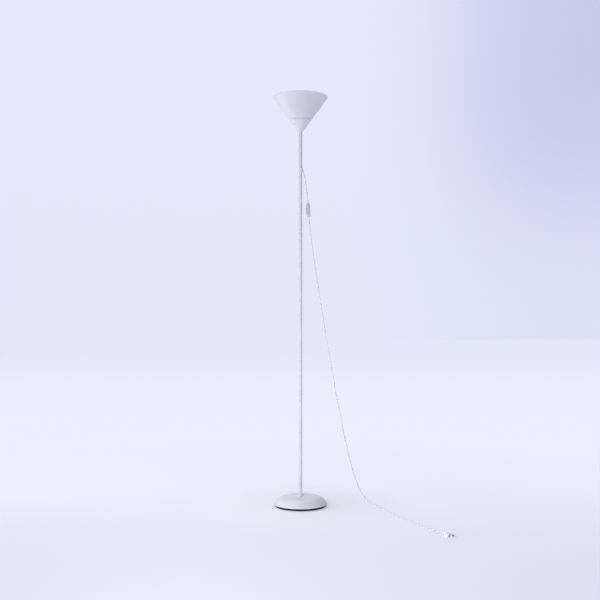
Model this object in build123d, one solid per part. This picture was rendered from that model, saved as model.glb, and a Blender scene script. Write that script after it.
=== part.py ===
"""Torchiere floor lamp: round weighted base, three-section pole, conical uplight shade.

The frame is in millimetres, +Z up, with the origin on the floor at the centre of the base.
The camera side of the lamp is -Y.  Every separate physical piece is one STEP file in parts/.
"""
from build123d import *
from math import atan2, cos, degrees, hypot, pi, radians, sin, sqrt, tan
import os

# ---------------------------------------------------------------- base
BASE_RADIUS = 115.0          # widest radius of the cover's rolled lip
BASE_CROWN = 44.0            # height that the crown arc would reach on the axis
BASE_SHEET = 1.2             # steel of the cover
LIP_RADIUS = 2.5             # rolled lip of the cover
SHOULDER_RADIUS = 48.0       # arc between crown and lip
SHOULDER_END = 67.0          # degrees from vertical of the surface normal where the lip starts
HEM_WIDTH = 6.0              # flange turned in under the lip
SEAT_RADIUS = 24.0           # flat on the crown that the pole stands on
FOOT_RING_HEIGHT = 9.0       # rubber ring between the hem and the floor
FOOT_RING_INSET = 8.0        # how far the ring stands back from the lip
FOOT_RING_WIDTH = 9.0
FOOT_RING_GRIP = 4.0         # part of the ring that stands inside the hem
PLATE_SHEET = 1.5            # bottom plate
PLATE_BITE = 3.0             # how far the plate's edge goes into the ring
WEIGHT_THICKNESS = 14.0
WEIGHT_GAP = 4.0             # between the weight's rim and the ring's grip
BOSS_RADIUS = 20.0           # raised middle of the weight, under the seat
PLAY = 0.2                   # clearance of parts that are dropped into each other

# ---------------------------------------------------------------- fasteners of the base
BOLT_RADIUS = 4.0            # M8
BOLT_HEAD_FLATS = 13.0
BOLT_HEAD_HEIGHT = 5.3
BOLT_GRIP = 16.0             # thread inside the pole's foot insert
WASHER_RADIUS = 12.0
WASHER_SHEET = 1.6

# ---------------------------------------------------------------- pole
POLE_RADIUS = 8.0
POLE_WALL = 1.2
SECTION_LENGTH = 529.6
SECTION_COUNT = 3
INSERT_LENGTH = 18.0         # threaded insert pressed into a tube's end
STUD_RADIUS = 5.0            # M10 spigot between two sections
STUD_LENGTH = 14.0
THREAD_PLAY = 0.05           # radial play between a thread and its mate, drawn as plain cylinders
COLLAR_RADIUS = 15.0
COLLAR_HEIGHT = 7.0
COLLAR_FLANGE = 2.2

# ---------------------------------------------------------------- cord exit in the upper section
CORD_DIAMETER = 5.0
GROMMET_RADIUS = 5.0
GROMMET_FLANGE = 6.3
GROMMET_LIP = 1.6            # how far the grommet stands out of the tube
GROMMET_INSIDE = 0.8         # and how far it reaches into the bore
GROMMET_SLEEVE = 22.0        # tapered sleeve round the cord's first stretch
SLEEVE_ROOT_RADIUS = 4.6
SLEEVE_TIP_RADIUS = 3.4
INNER_BEND_RADIUS = 25.0     # bend of the cord inside the pole
INNER_BEND_RUN = 12.0        # from the exit to the corner of that bend
CORD_PAST_NIPPLE = 1.0       # how far the sheath reaches into the lamp holder

# ---------------------------------------------------------------- head: cup and shade
CONE_HEIGHT = 150.0
CONE_FOOT_RADIUS = 9.5       # outside radius where the cup meets the pole
SHADE_RADIUS = 119.0         # outside radius of the shade at its rim
SEAM_HEIGHT = 50.5           # height of the seam between cup and shade, above the cup's foot
SEAM_GAP = 0.4
SHADE_SHEET = 1.0
RIM_BEAD = 1.3               # radius of the rolled bead at the rim
CUP_FLOOR = 1.4

# ---------------------------------------------------------------- nipple, nut and washer
NIPPLE_RADIUS = 5.0          # M10 x 1
NIPPLE_BORE = 3.4
NIPPLE_DOWN = 15.0           # length inside the pole
NIPPLE_UP = 25.0             # length above the cup's floor
NUT_FLATS = 14.0
NUT_HEIGHT = 4.0
LOCK_WASHER_RADIUS = 8.0
LOCK_WASHER_SHEET = 0.8

# ---------------------------------------------------------------- E27 lamp holder
HOLDER_FOOT = 14.0           # height of the holder's foot above the cup's foot
HOLDER_FOOT_WALL = 4.0       # of the holder's neck, outside the nipple
HOLDER_NECK_HEIGHT = 6.0
HOLDER_DOME_HEIGHT = 22.0
HOLDER_WALL = 2.0
HOLDER_GAP = 1.8             # between the insert and the sleeve
HOLDER_RIM = 24.0            # how far the sleeve stands above the shade's floor
HOLDER_FLANGE_WIDTH = 4.5
HOLDER_FLANGE = 2.5
CORE_FLOOR = 5.0
CORE_WALL = 1.8
CONTACT_LIFT = 1.4           # of the bulb's tip above the insert's floor
CONTACT_STRIP = (16.0, 6.0, 1.0)
RIVET_RADIUS = 1.4
RIVET_TAIL = 2.0             # below the insert
SHELL_SHEET = 0.4            # screw shell that grips the bulb's cap
SHELL_START = 3.0            # above the insert's floor
TERMINAL_SPREAD = 6.5        # of each terminal block from the axis
TERMINAL_SIZE = 4.0
WIRE_RADIUS = 0.9
RING_WIDTH = 8.5             # shade ring, outside the sleeve
RING_FLANGE = 3.0
RING_HEIGHT = 9.0
RING_STEP = 5.0              # how far the ring's collar stands back from its flange
RING_RIBS = 24
RIB = (2.0, 1.6)

# ---------------------------------------------------------------- bulb, A60 with E27 cap
CAP_RADIUS = 13.2
CAP_LENGTH = 20.0
CAP_SHEET = 0.5
CAP_PLAY = 0.3               # radial gap between cap and screw shell
TIP_LENGTH = 2.4
TIP_RADIUS = 4.5
INSULATOR_LENGTH = 4.0
CAP_THREAD = 1.2             # height of the cap's rounded turns
CAP_PITCH = 3.62
CAP_TURNS = 4
BULB_RADIUS = 30.0
BULB_LENGTH = 106.0          # from the tip of the contact to the top of the globe
BULB_NECK = 1.0              # how far the housing's neck stands outside the cap
HOUSING_HEIGHT = 26.0
HOUSING_WALL = 1.6
HOUSING_INSET = 3.0          # of its rim from the bulb's radius
DIFFUSER_SHEET = 1.2
BOARD_SHEET = 1.6
BOARD_GAP = 1.4              # between the board's rim and the housing's wall
BOARD_DROP = 0.6             # below the housing's rim
CHIP = (3.0, 3.0, 0.8)
CHIP_COUNT = 8
CHIP_CIRCLE = 14.0

# ---------------------------------------------------------------- cord switch
SWITCH_LENGTH = 58.0
SWITCH_WIDTH = 28.0
SWITCH_THICKNESS = 15.0
SWITCH_WALL = 1.8
SWITCH_CORNER = 8.0          # corner radius of the outline
SWITCH_EDGE = 3.2            # edge rounding
SHELL_GAP = 0.3              # seam between the two halves of the housing
SWITCH_YAW = 4.0             # degrees that the rocker's face turns from -X towards the front
ROCKER_WIDTH = 12.0
ROCKER_SWING_RADIUS = 10.0   # the rocker's ends are arcs about its pin
ROCKER_RISE = 2.6            # how far the rocker's ends stand above the face, level
ROCKER_DIP = 1.3             # how much lower its middle is
ROCKER_TILT = 8.0            # degrees either side of level
ROCKER_GAP = 0.45
ROCKER_PIN_RADIUS = 1.5
ROCKER_TONGUE = 2.6          # how far its tongue reaches behind the pin
ROCKER_TONGUE_HALF = 5.0     # half the tongue's length
ROCKER_PIN_DEPTH = 4.2       # below the face
EAR_WALL = 2.0               # the ears beside the rocker
EAR_HEIGHT = 7.0
ROCKER_PIN_REACH = 2.2       # how far each stub goes into its ear
ROCKER_PIN_PLAY = 0.05
CONTACT_BLOCK = (3.4, 5.0, 9.0)   # terminals in the switch: thickness, width, length
CONTACT_SIDE = 7.4           # of their middle from the middle of the switch
SCREW_SIDE = 8.4             # the screws stand beside the cord, on the other side
POST_RADIUS = 3.0            # round each screw
SWITCH_SCREW_RADIUS = 1.25
SWITCH_SCREW_TIP = 4.8       # level that the screws reach, and their holes a little further
SCREW_HEAD_RADIUS = 2.3
SCREW_HEAD = 1.3
SCREW_RECESS = 0.3
SCREW_SLOT = 0.6
SWITCH_SCREW_SPREAD = 19.5   # each screw's distance from the middle of the switch

# ---------------------------------------------------------------- two-pin plug
PLUG_LENGTH = 36.0
PLUG_WIDTH = 35.0
PLUG_THICKNESS = 13.7
PLUG_TAIL_WIDTH = 11.0
PLUG_TAIL_LENGTH = 10.0
PLUG_SHOULDER = 22.0         # from the body's tail to its full width
PLUG_CORNER = 4.0
PLUG_EDGE = 4.0
PIN_RADIUS = 2.0
PIN_REACH = 19.0
PIN_ROOT = 8.0               # inside the body
PIN_SPACING = 18.6
PIN_SLEEVE = 10.0            # insulated part of each pin
PIN_NECK_RADIUS = 1.5
PIN_CHAMFER = 0.8
PIN_SLEEVE_INSET = 0.2       # the sleeves are a little slimmer than the pins
RELIEF_LENGTH = 26.0
RELIEF_SLOTS = 4
RELIEF_SLOT = 1.6
RELIEF_PITCH = 5.0
RELIEF_TIP_RADIUS = 3.3
RELIEF_ROOT_RADIUS = 4.6

# ---------------------------------------------------------------- cord routes, chosen by hand
# From the pole's surface down to the switch; the last point is inside the switch's housing.
UPPER_ROUTE = [
    (2.1, -7.72, 1475.0),
    (14.8, -25.6, 1451.2),
    (21.6, -30.2, 1407.0),
    (26.8, -26.9, 1370.5),
    (30.6, -21.9, 1339.9),
    (32.1, -20.86, 1310.0),
]
# From inside the switch's housing to the plug.
LOWER_ROUTE = [
    (35.4, -20.1, 1268.0),
    (37.7, -19.6, 1238.1),
    (42.8, -17.6, 1190.0),
    (51.8, -15.0, 1122.0),
    (61.2, -13.6, 1052.0),
    (73.2, -12.0, 984.0),
    (83.2, -9.8, 912.0),
    (95.4, -7.9, 842.0),
    (105.2, -5.1, 771.0),
    (117.4, -3.0, 700.0),
    (130.8, -0.4, 630.0),
    (142.6, 2.6, 561.0),
    (154.0, 4.9, 490.0),
    (169.6, 7.8, 420.0),
    (182.2, 11.2, 350.0),
    (196.8, 14.2, 281.0),
    (212.2, 17.5, 213.0),
    (228.0, 20.3, 154.0),
    (246.0, 23.6, 98.0),
    (266.5, 26.0, 53.0),
    (291.0, 23.0, 20.0),
    (318.0, 4.0, 4.6),
    (338.0, -28.0, 2.5),
    (354.5, -72.0, 2.5),
    (371.5, -120.0, 2.5),
    (386.5, -170.0, 2.5),
    (403.5, -222.0, 2.5),
    (423.5, -276.0, 2.5),
    (446.0, -331.0, 2.5),
    (471.5, -385.0, 2.5),
    (497.0, -434.0, 3.6),
    (516.5, -468.5, 7.05),
    (532.0, -497.0, 7.05),
]


def tube(outer, inner, bottom, top):
    """A round tube, or a rod where inner is 0, on the Z axis between two heights."""
    rod = Cylinder(outer, top - bottom)
    if inner > 0:
        rod -= Cylinder(inner, top - bottom)
    return Pos(0, 0, (bottom + top) / 2) * rod


def turned(points):
    """The solid turned from a closed outline of (radius, height) corners."""
    face = make_face(Polyline(*points, close=True))
    return revolve(Plane.XZ * face, axis=Axis.Z)


def rod(radius, plane, length):
    """A round rod that starts on a plane's origin and runs along its normal."""
    return plane * Cylinder(radius, length, align=(Align.CENTER, Align.CENTER, Align.MIN))


def hexagon(flats, bottom, top):
    """A hexagonal prism on the Z axis, from its width across flats."""
    side = RegularPolygon(flats / 2, 6, major_radius=False)
    return Pos(0, 0, bottom) * extrude(side, top - bottom)


def ring_of(piece, count):
    """Copies of a piece, spaced evenly round the Z axis, as one list."""
    return [Rot(0, 0, 360 * k / count) * piece for k in range(count)]


# ================================================================ base

# The cover's outline is three tangent arcs: crown (centred on the axis), shoulder and lip.
lip_centre = (BASE_RADIUS - LIP_RADIUS, FOOT_RING_HEIGHT + LIP_RADIUS)
shoulder_centre = (
    lip_centre[0] - (SHOULDER_RADIUS - LIP_RADIUS) * sin(radians(SHOULDER_END)),
    lip_centre[1] - (SHOULDER_RADIUS - LIP_RADIUS) * cos(radians(SHOULDER_END)),
)
crown_drop = BASE_CROWN - shoulder_centre[1]
crown_radius = (
    (SHOULDER_RADIUS**2 - shoulder_centre[0] ** 2 - crown_drop**2)
    / (2 * (SHOULDER_RADIUS - crown_drop))
)
crown_centre = (0.0, BASE_CROWN - crown_radius)
seat_height = crown_centre[1] + sqrt(crown_radius**2 - SEAT_RADIUS**2)


def on_arc(centre, radius, angle):
    """A point on an arc, by its angle in radians from vertical."""
    return (centre[0] + radius * sin(angle), centre[1] + radius * cos(angle))


def cover_outline(inset):
    """The cover's outline from the seat to the hem's edge, moved inwards by inset."""
    crown, shoulder, lip = (r - inset for r in (crown_radius, SHOULDER_RADIUS, LIP_RADIUS))
    to_shoulder = atan2(
        shoulder_centre[0] - crown_centre[0], shoulder_centre[1] - crown_centre[1]
    )
    seat = seat_height - inset
    start = crown_centre[0] + sqrt(crown**2 - (seat - crown_centre[1]) ** 2)
    from_axis = atan2(start, seat - crown_centre[1])
    to_lip = radians(SHOULDER_END)
    hem = FOOT_RING_HEIGHT + inset
    spans = [
        (crown_centre, crown, from_axis, to_shoulder),
        (shoulder_centre, shoulder, to_shoulder, to_lip),
        (lip_centre, lip, to_lip, pi),
    ]
    arcs = [
        ThreePointArc(*[on_arc(centre, radius, a) for a in (first, (first + last) / 2, last)])
        for centre, radius, first, last in spans
    ]
    first = Line((BOLT_RADIUS + PLAY, seat), on_arc(crown_centre, crown, from_axis))
    last = Line((lip_centre[0], hem), (lip_centre[0] - HEM_WIDTH, hem))
    return [first, *arcs, last]


def base_cover():
    """Spun steel shell: crown with a flat seat, rounded shoulder, rolled lip and hem."""
    outer, inner = cover_outline(0), cover_outline(BASE_SHEET)
    ends = [Line(outer[0] @ 0, inner[0] @ 0), Line(outer[-1] @ 1, inner[-1] @ 1)]
    face = make_face(Curve() + [*outer, *inner, *ends])
    return revolve(Plane.XZ * face, axis=Axis.Z)


ring_outer = BASE_RADIUS - FOOT_RING_INSET
ring_inner = ring_outer - FOOT_RING_WIDTH
hem_inner = lip_centre[0] - HEM_WIDTH
plate_radius = ring_inner + PLATE_BITE
plate_bottom = FOOT_RING_HEIGHT
weight_bottom = plate_bottom + PLATE_SHEET
weight_radius = ring_inner - WEIGHT_GAP
boss_top = seat_height - BASE_SHEET
washer_bottom = plate_bottom - WASHER_SHEET
head_bottom = washer_bottom - BOLT_HEAD_HEIGHT


def base_foot_ring():
    """Black rubber ring that the lamp stands on, with a groove for the bottom plate."""
    grip_top = FOOT_RING_HEIGHT + FOOT_RING_GRIP
    ring = turned([
        (ring_inner, 0), (ring_outer, 0), (ring_outer, FOOT_RING_HEIGHT),
        (hem_inner - PLAY, FOOT_RING_HEIGHT), (hem_inner - PLAY, grip_top),
        (ring_inner, grip_top),
    ])
    edges = ring.edges().filter_by(GeomType.CIRCLE).sort_by(Axis.Z)[:2]
    ring = chamfer(edges, 0.6)
    groove = tube(plate_radius + PLAY, 0, plate_bottom, plate_bottom + PLATE_SHEET)
    return ring - groove


def base_bottom_plate():
    """Steel disc that closes the underside and holds the foot ring."""
    return tube(plate_radius, BOLT_RADIUS + PLAY, plate_bottom, weight_bottom)


def base_weight():
    """Cast iron disc with a raised boss under the seat of the cover."""
    disc = tube(weight_radius, 0, weight_bottom, weight_bottom + WEIGHT_THICKNESS)
    disc = chamfer(disc.edges().filter_by(GeomType.CIRCLE).sort_by(Axis.Z)[-1], 3)
    boss = tube(BOSS_RADIUS, 0, weight_bottom + WEIGHT_THICKNESS / 2, boss_top)
    return disc + boss - tube(BOLT_RADIUS + PLAY, 0, 0, BASE_CROWN)


def base_bolt():
    """Hexagon bolt from below, through plate, weight and cover into the pole."""
    shank = tube(BOLT_RADIUS, 0, washer_bottom, seat_height + BOLT_GRIP)
    tip = chamfer(shank.edges().sort_by(Axis.Z)[-1], 0.8)
    return tip + hexagon(BOLT_HEAD_FLATS, head_bottom, washer_bottom)


def base_washer():
    """Flat washer under the bolt's head."""
    return tube(WASHER_RADIUS, BOLT_RADIUS + PLAY, washer_bottom, plate_bottom)


def foot_collar():
    """Small flanged collar that covers the foot of the pole."""
    bore = POLE_RADIUS + PLAY
    shoulder = bore + 1.6
    top = seat_height + COLLAR_HEIGHT
    flange_top = seat_height + COLLAR_FLANGE
    face = make_face(
        Polyline((shoulder, top), (bore, top), (bore, seat_height), (COLLAR_RADIUS, seat_height))
        + Line((COLLAR_RADIUS, seat_height), (COLLAR_RADIUS, seat_height + COLLAR_FLANGE / 2))
        + ThreePointArc(
            (COLLAR_RADIUS, seat_height + COLLAR_FLANGE / 2),
            (shoulder + 1.6, flange_top + 0.8),
            (shoulder, top),
        )
    )
    return revolve(Plane.XZ * face, axis=Axis.Z)


# ================================================================ pole

bore_radius = POLE_RADIUS - POLE_WALL
section_ends = [seat_height + SECTION_LENGTH * k for k in range(SECTION_COUNT + 1)]
pole_top = section_ends[-1]
exit_point = Vector(*UPPER_ROUTE[0])
exit_along = (Vector(*UPPER_ROUTE[1]) - exit_point).normalized()
# The grommet's axis meets the cord's middle halfway through the pole's wall.
exit_middle = exit_point - exit_along * (POLE_WALL / 2 / hypot(exit_along.X, exit_along.Y))
grommet_plane = Plane(origin=(0, 0, exit_middle.Z), z_dir=(exit_middle.X, exit_middle.Y, 0))
grommet_span = (exit_middle.Z - 4 * GROMMET_RADIUS, exit_middle.Z + 4 * GROMMET_RADIUS)


def pole_section(index):
    """One length of painted steel tube; the last one has the hole for the grommet."""
    section = tube(POLE_RADIUS, bore_radius, section_ends[index], section_ends[index + 1])
    if index == SECTION_COUNT - 1:
        section -= rod(GROMMET_RADIUS + PLAY / 2, grommet_plane, 2 * POLE_RADIUS)
    return section


def pole_foot_insert():
    """Threaded plug in the foot of the lower section, for the base bolt."""
    bottom = section_ends[0]
    return tube(bore_radius, BOLT_RADIUS + THREAD_PLAY, bottom, bottom + INSERT_LENGTH)


def joint_stud(index):
    """Plug pressed into the top of one section, with the threaded spigot for the next."""
    joint = section_ends[index]
    plug = tube(bore_radius, 0, joint - INSERT_LENGTH, joint)
    spigot = tube(STUD_RADIUS, 0, joint, joint + STUD_LENGTH)
    return plug + chamfer(spigot.edges().sort_by(Axis.Z)[-1], 1)


def joint_insert(index):
    """Threaded bush in the foot of a section, which screws onto the spigot below."""
    joint = section_ends[index]
    return tube(bore_radius, STUD_RADIUS + THREAD_PLAY, joint, joint + INSERT_LENGTH)


def pole_top_insert():
    """Threaded bush in the top of the pole, for the hollow nipple."""
    return tube(bore_radius, NIPPLE_RADIUS + THREAD_PLAY, pole_top - INSERT_LENGTH, pole_top)


def cord_grommet():
    """Bush in the pole's wall with a tapered sleeve round the cord, bored along it."""
    reach = POLE_RADIUS + GROMMET_LIP
    flange = rod(GROMMET_FLANGE, grommet_plane, reach)
    flange = chamfer(flange.edges().sort_by(SortBy.DISTANCE, reverse=True)[0], GROMMET_LIP / 2)
    flange -= tube(POLE_RADIUS, 0, *grommet_span)
    inside = tube(bore_radius - GROMMET_INSIDE, 0, *grommet_span)
    bush = flange + (rod(GROMMET_RADIUS, grommet_plane, reach) - inside)
    along = Plane(origin=exit_point, z_dir=exit_along)
    sleeve = along * Cone(
        SLEEVE_ROOT_RADIUS, SLEEVE_TIP_RADIUS, GROMMET_SLEEVE,
        align=(Align.CENTER, Align.CENTER, Align.MIN),
    )
    channel = along * Cylinder(CORD_DIAMETER / 2 + PLAY, 8 * POLE_RADIUS)
    return bush + (sleeve - tube(POLE_RADIUS, 0, *grommet_span)) - channel


# ================================================================ head

cone_slope = (SHADE_RADIUS - CONE_FOOT_RADIUS) / CONE_HEIGHT
wall_across = SHADE_SHEET * sqrt(1 + cone_slope**2)   # sheet measured along a radius
cup_foot = pole_top
cup_top = cup_foot + SEAM_HEIGHT
shade_foot = cup_top + SEAM_GAP
rim_height = cup_foot + CONE_HEIGHT
cup_floor_top = cup_foot + CUP_FLOOR
holder_foot = cup_foot + HOLDER_FOOT
holder_split = holder_foot + HOLDER_DOME_HEIGHT
holder_top = shade_foot + HOLDER_RIM
nipple_top = cup_floor_top + NIPPLE_UP
floor_top = shade_foot + SHADE_SHEET
shell_outer = CAP_RADIUS + CAP_PLAY + SHELL_SHEET
core_outer = shell_outer + CORE_WALL
holder_bore = core_outer + HOLDER_GAP
holder_radius = holder_bore + HOLDER_WALL
core_bottom = holder_split + PLAY
core_floor_top = core_bottom + CORE_FLOOR
tip_bottom = core_floor_top + CONTACT_LIFT
cap_bottom = tip_bottom + TIP_LENGTH + INSULATOR_LENGTH
cap_top = cap_bottom + CAP_LENGTH
bulb_top = tip_bottom + BULB_LENGTH


def cone_radius(height):
    """Outside radius of cup and shade at a height."""
    return CONE_FOOT_RADIUS + cone_slope * (height - cup_foot)


def socket_cup():
    """Lower part of the cone, a painted cup that hides the lamp holder."""
    return turned([
        (NIPPLE_RADIUS + PLAY, cup_foot), (CONE_FOOT_RADIUS, cup_foot),
        (cone_radius(cup_top), cup_top), (cone_radius(cup_top) - wall_across, cup_top),
        (cone_radius(cup_floor_top) - wall_across, cup_floor_top),
        (NIPPLE_RADIUS + PLAY, cup_floor_top),
    ])


def shade():
    """Upper cone, open at the top, with a floor that the shade ring clamps and a rolled rim."""
    cone = turned([
        (holder_radius + PLAY, shade_foot), (cone_radius(shade_foot), shade_foot),
        (SHADE_RADIUS, rim_height), (SHADE_RADIUS - wall_across, rim_height),
        (cone_radius(floor_top) - wall_across, floor_top), (holder_radius + PLAY, floor_top),
    ])
    bead = Pos(0, 0, rim_height) * Torus(SHADE_RADIUS - wall_across / 2, RIM_BEAD)
    return cone + bead


def top_nipple():
    """Hollow threaded nipple from the pole, through the cup, into the lamp holder."""
    return tube(NIPPLE_RADIUS, NIPPLE_BORE, pole_top - NIPPLE_DOWN, nipple_top)


def cup_washer():
    """Lock washer on the cup's floor."""
    top = cup_floor_top + LOCK_WASHER_SHEET
    return tube(LOCK_WASHER_RADIUS, NIPPLE_RADIUS + PLAY, cup_floor_top, top)


def cup_nut():
    """Thin hexagon nut that clamps the cup to the pole."""
    bottom = cup_floor_top + LOCK_WASHER_SHEET
    nut = hexagon(NUT_FLATS, bottom, bottom + NUT_HEIGHT)
    return nut - tube(NIPPLE_RADIUS + THREAD_PLAY, 0, bottom, bottom + NUT_HEIGHT)


def holder_base():
    """Domed foot of the lamp holder, which screws onto the nipple."""
    bore = NIPPLE_RADIUS + THREAD_PLAY
    neck = NIPPLE_RADIUS + HOLDER_FOOT_WALL
    neck_top = holder_foot + HOLDER_NECK_HEIGHT
    dome_top = neck_top + 2 * HOLDER_NECK_HEIGHT
    inner_neck_top = neck_top + 2 * HOLDER_WALL
    return turned([
        (bore, holder_foot), (neck, holder_foot), (neck, neck_top),
        (holder_radius - HOLDER_WALL, dome_top - 2 * HOLDER_WALL), (holder_radius, dome_top),
        (holder_radius, holder_split), (holder_bore, holder_split), (holder_bore, dome_top),
        (holder_bore - HOLDER_WALL, dome_top - HOLDER_WALL), (neck - 1, inner_neck_top),
        (bore, inner_neck_top),
    ])


def holder_sleeve():
    """Outer sleeve of the lamp holder, with the flange that carries the shade."""
    sleeve = tube(holder_radius, holder_bore, holder_split, holder_top)
    sleeve = chamfer(sleeve.edges().filter_by(GeomType.CIRCLE).sort_by(Axis.Z)[-2:], HOLDER_WALL / 4)
    flange_radius = holder_radius + HOLDER_FLANGE_WIDTH
    return sleeve + tube(flange_radius, holder_bore, shade_foot - HOLDER_FLANGE, shade_foot)


def holder_core():
    """Insulating insert that holds the contacts and the screw shell."""
    cup = tube(core_outer, shell_outer, core_bottom, cap_top)
    floor = tube(core_outer, RIVET_RADIUS + PLAY, core_bottom, core_floor_top)
    return cup + floor


def holder_screw_shell():
    """Thin metal shell that grips the bulb's cap."""
    return tube(shell_outer, CAP_RADIUS + CAP_PLAY, core_floor_top + SHELL_START, cap_top)


def holder_contact():
    """Middle contact strip with its rivet through the insert's floor."""
    strip = Pos(0, 0, core_floor_top + CONTACT_STRIP[2] / 2) * Box(*CONTACT_STRIP)
    return strip + tube(RIVET_RADIUS, 0, core_bottom - RIVET_TAIL, core_floor_top)


def shade_ring():
    """Ribbed ring nut that clamps the shade's floor to the holder's flange."""
    bore = holder_radius + THREAD_PLAY
    outer = holder_radius + RING_WIDTH
    step = outer - RING_STEP
    flange = tube(outer, bore, floor_top, floor_top + RING_FLANGE)
    collar = tube(step, bore, floor_top, floor_top + RING_HEIGHT)
    body = flange + chamfer(collar.edges().filter_by(GeomType.CIRCLE).sort_by(Axis.Z)[-1], 0.8)
    rib = Pos(step + RIB[0] / 4, 0, floor_top + RING_HEIGHT / 2) * Box(*RIB, RING_HEIGHT - 2)
    for one in ring_of(rib, RING_RIBS):
        body += one
    return body


# ================================================================ bulb

housing_top = cap_top + HOUSING_HEIGHT
housing_rim = BULB_RADIUS - HOUSING_INSET
cap_root = CAP_RADIUS - CAP_THREAD           # radius between the cap's turns


def bulb_contact():
    """Tip contact of the bulb."""
    tip = tube(TIP_RADIUS, 0, tip_bottom, tip_bottom + TIP_LENGTH)
    return chamfer(tip.edges().sort_by(Axis.Z)[0], TIP_LENGTH / 3)


def bulb_insulator():
    """Black ring between the bulb's tip and its cap."""
    low = tip_bottom + TIP_LENGTH
    wide = cap_root - CAP_THREAD
    return turned([(0, low), (TIP_RADIUS + 1, low), (wide, cap_bottom), (0, cap_bottom)])


def bulb_cap():
    """E27 screw cap, drawn with the rounded turns of its thread as rings."""
    body = turned([
        (0, cap_bottom), (cap_root - CAP_THREAD, cap_bottom), (cap_root, cap_bottom + CAP_THREAD),
        (cap_root, cap_top), (0, cap_top),
    ])
    for turn in range(CAP_TURNS):
        height = cap_bottom + CAP_PITCH * (turn + 1)
        body += Pos(0, 0, height) * Torus(cap_root, CAP_THREAD)
    return body - tube(cap_root - CAP_SHEET, 0, cap_bottom + 2 * CAP_SHEET, cap_top)


def bulb_housing():
    """White housing between cap and globe; it is hollow for the driver."""
    neck = CAP_RADIUS + BULB_NECK

    def side(inset):
        """The housing's flared side, moved inwards by inset."""
        return Bezier(
            (housing_rim - inset, housing_top),
            (housing_rim - inset - 5, housing_top - HOUSING_HEIGHT / 2),
            (neck - inset + 1.5, cap_top + HOUSING_HEIGHT / 2 - 1),
            (neck - inset, cap_top),
        )

    outer, inner = side(0), side(HOUSING_WALL)
    face = make_face(Curve() + [outer, inner, Line(outer @ 0, inner @ 0), Line(outer @ 1, inner @ 1)])
    return revolve(Plane.XZ * face, axis=Axis.Z)


def bulb_led_board():
    """Round aluminium board that carries the light sources."""
    top = housing_top - BOARD_DROP
    board = tube(housing_rim - HOUSING_WALL - BOARD_GAP, 0, top - BOARD_SHEET, top)
    chip = Pos(CHIP_CIRCLE, 0, top + CHIP[2] / 2) * Box(*CHIP)
    for one in ring_of(chip, CHIP_COUNT):
        board += one
    return board


def bulb_diffuser():
    """Opal globe, a thin shell that closes the top of the bulb."""

    def skin(inset):
        """The globe's outline from its rim to its top, moved inwards by inset."""
        widest = BULB_RADIUS - inset + HOUSING_INSET
        top = bulb_top - inset
        return Bezier(
            (housing_rim - inset, housing_top), (widest, housing_top + BULB_RADIUS / 2),
            (widest, top - 2), (0.55 * widest, top), (0, top),
        )

    outer, inner = skin(0), skin(DIFFUSER_SHEET)
    face = make_face(Curve() + [outer, inner, Line(outer @ 0, inner @ 0), Line(outer @ 1, inner @ 1)])
    return revolve(Plane.XZ * face, axis=Axis.Z)


# ================================================================ cords

def route_radii(points):
    """The fillet at each corner of a route: as large as its two runs allow."""
    radii = []
    for before, corner, after in zip(points, points[1:], points[2:]):
        a, b = Vector(*corner) - Vector(*before), Vector(*after) - Vector(*corner)
        turn = radians(a.get_angle(b))
        radii.append(0.45 * min(a.length, b.length) / tan(turn / 2))
    return radii


def cord_tube(name, points, radius):
    """A round tube along straight runs joined by tangent arcs; prints how well it came out."""
    radii = route_radii(points)
    path = FilletPolyline(*points, radius=radii)
    section = Plane(origin=path @ 0, z_dir=path % 0) * Circle(radius)
    swept = sweep(section, path=path)
    share = swept.volume / (pi * radius**2 * path.length)
    print(f"{name}: length {path.length:.1f}, smallest radius {min(radii):.1f}, volume share {share:.4f}")
    return swept


def cord_inner():
    """Cord inside the pole, from the exit up through the nipple into the lamp holder."""
    corner = exit_point - exit_along * INNER_BEND_RUN
    points = [
        tuple(exit_point), tuple(corner), (corner.X, corner.Y, corner.Z + 32), (0.8, 0.5, corner.Z + 76),
        (-0.3, -0.4, pole_top - 52), (0.0, 0.0, pole_top - NIPPLE_DOWN - 6),
        (0.01, 0.0, nipple_top + CORD_PAST_NIPPLE),
    ]
    radii = [INNER_BEND_RADIUS, *route_radii(points)[1:]]
    path = FilletPolyline(*points, radius=radii)
    section = Plane(origin=path @ 0, z_dir=path % 0) * Circle(CORD_DIAMETER / 2)
    return sweep(section, path=path)


def lead_wires():
    """The two insulated wires from the cord's end to the lamp holder's terminals."""
    low = Vector(1.2, 0, nipple_top + CORD_PAST_NIPPLE)
    high = Vector(TERMINAL_SPREAD - 1, 0, core_bottom - TERMINAL_SIZE)
    middle = (low + high) * 0.5
    wire = Plane(origin=middle, z_dir=high - low) * Cylinder(WIRE_RADIUS, 2 * (high - low).length)
    wire &= Pos(*middle) * Box(2 * holder_radius, holder_radius, high.Z - low.Z)
    return Compound([wire, Rot(0, 0, 180) * wire])


def holder_terminals():
    """Two brass terminal blocks under the insert's floor."""
    low = core_bottom - TERMINAL_SIZE / 2
    block = Pos(TERMINAL_SPREAD, 0, low) * Box(TERMINAL_SIZE, TERMINAL_SIZE + 1, TERMINAL_SIZE)
    return Compound([block, Rot(0, 0, 180) * block])


# ================================================================ switch

switch_top, switch_bottom = Vector(*UPPER_ROUTE[-1]), Vector(*LOWER_ROUTE[0])
switch_up = (switch_top - switch_bottom).normalized()
face_out = Vector(-cos(radians(SWITCH_YAW)), -sin(radians(SWITCH_YAW)), 0)
face_out = (face_out - switch_up * face_out.dot(switch_up)).normalized()
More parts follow.
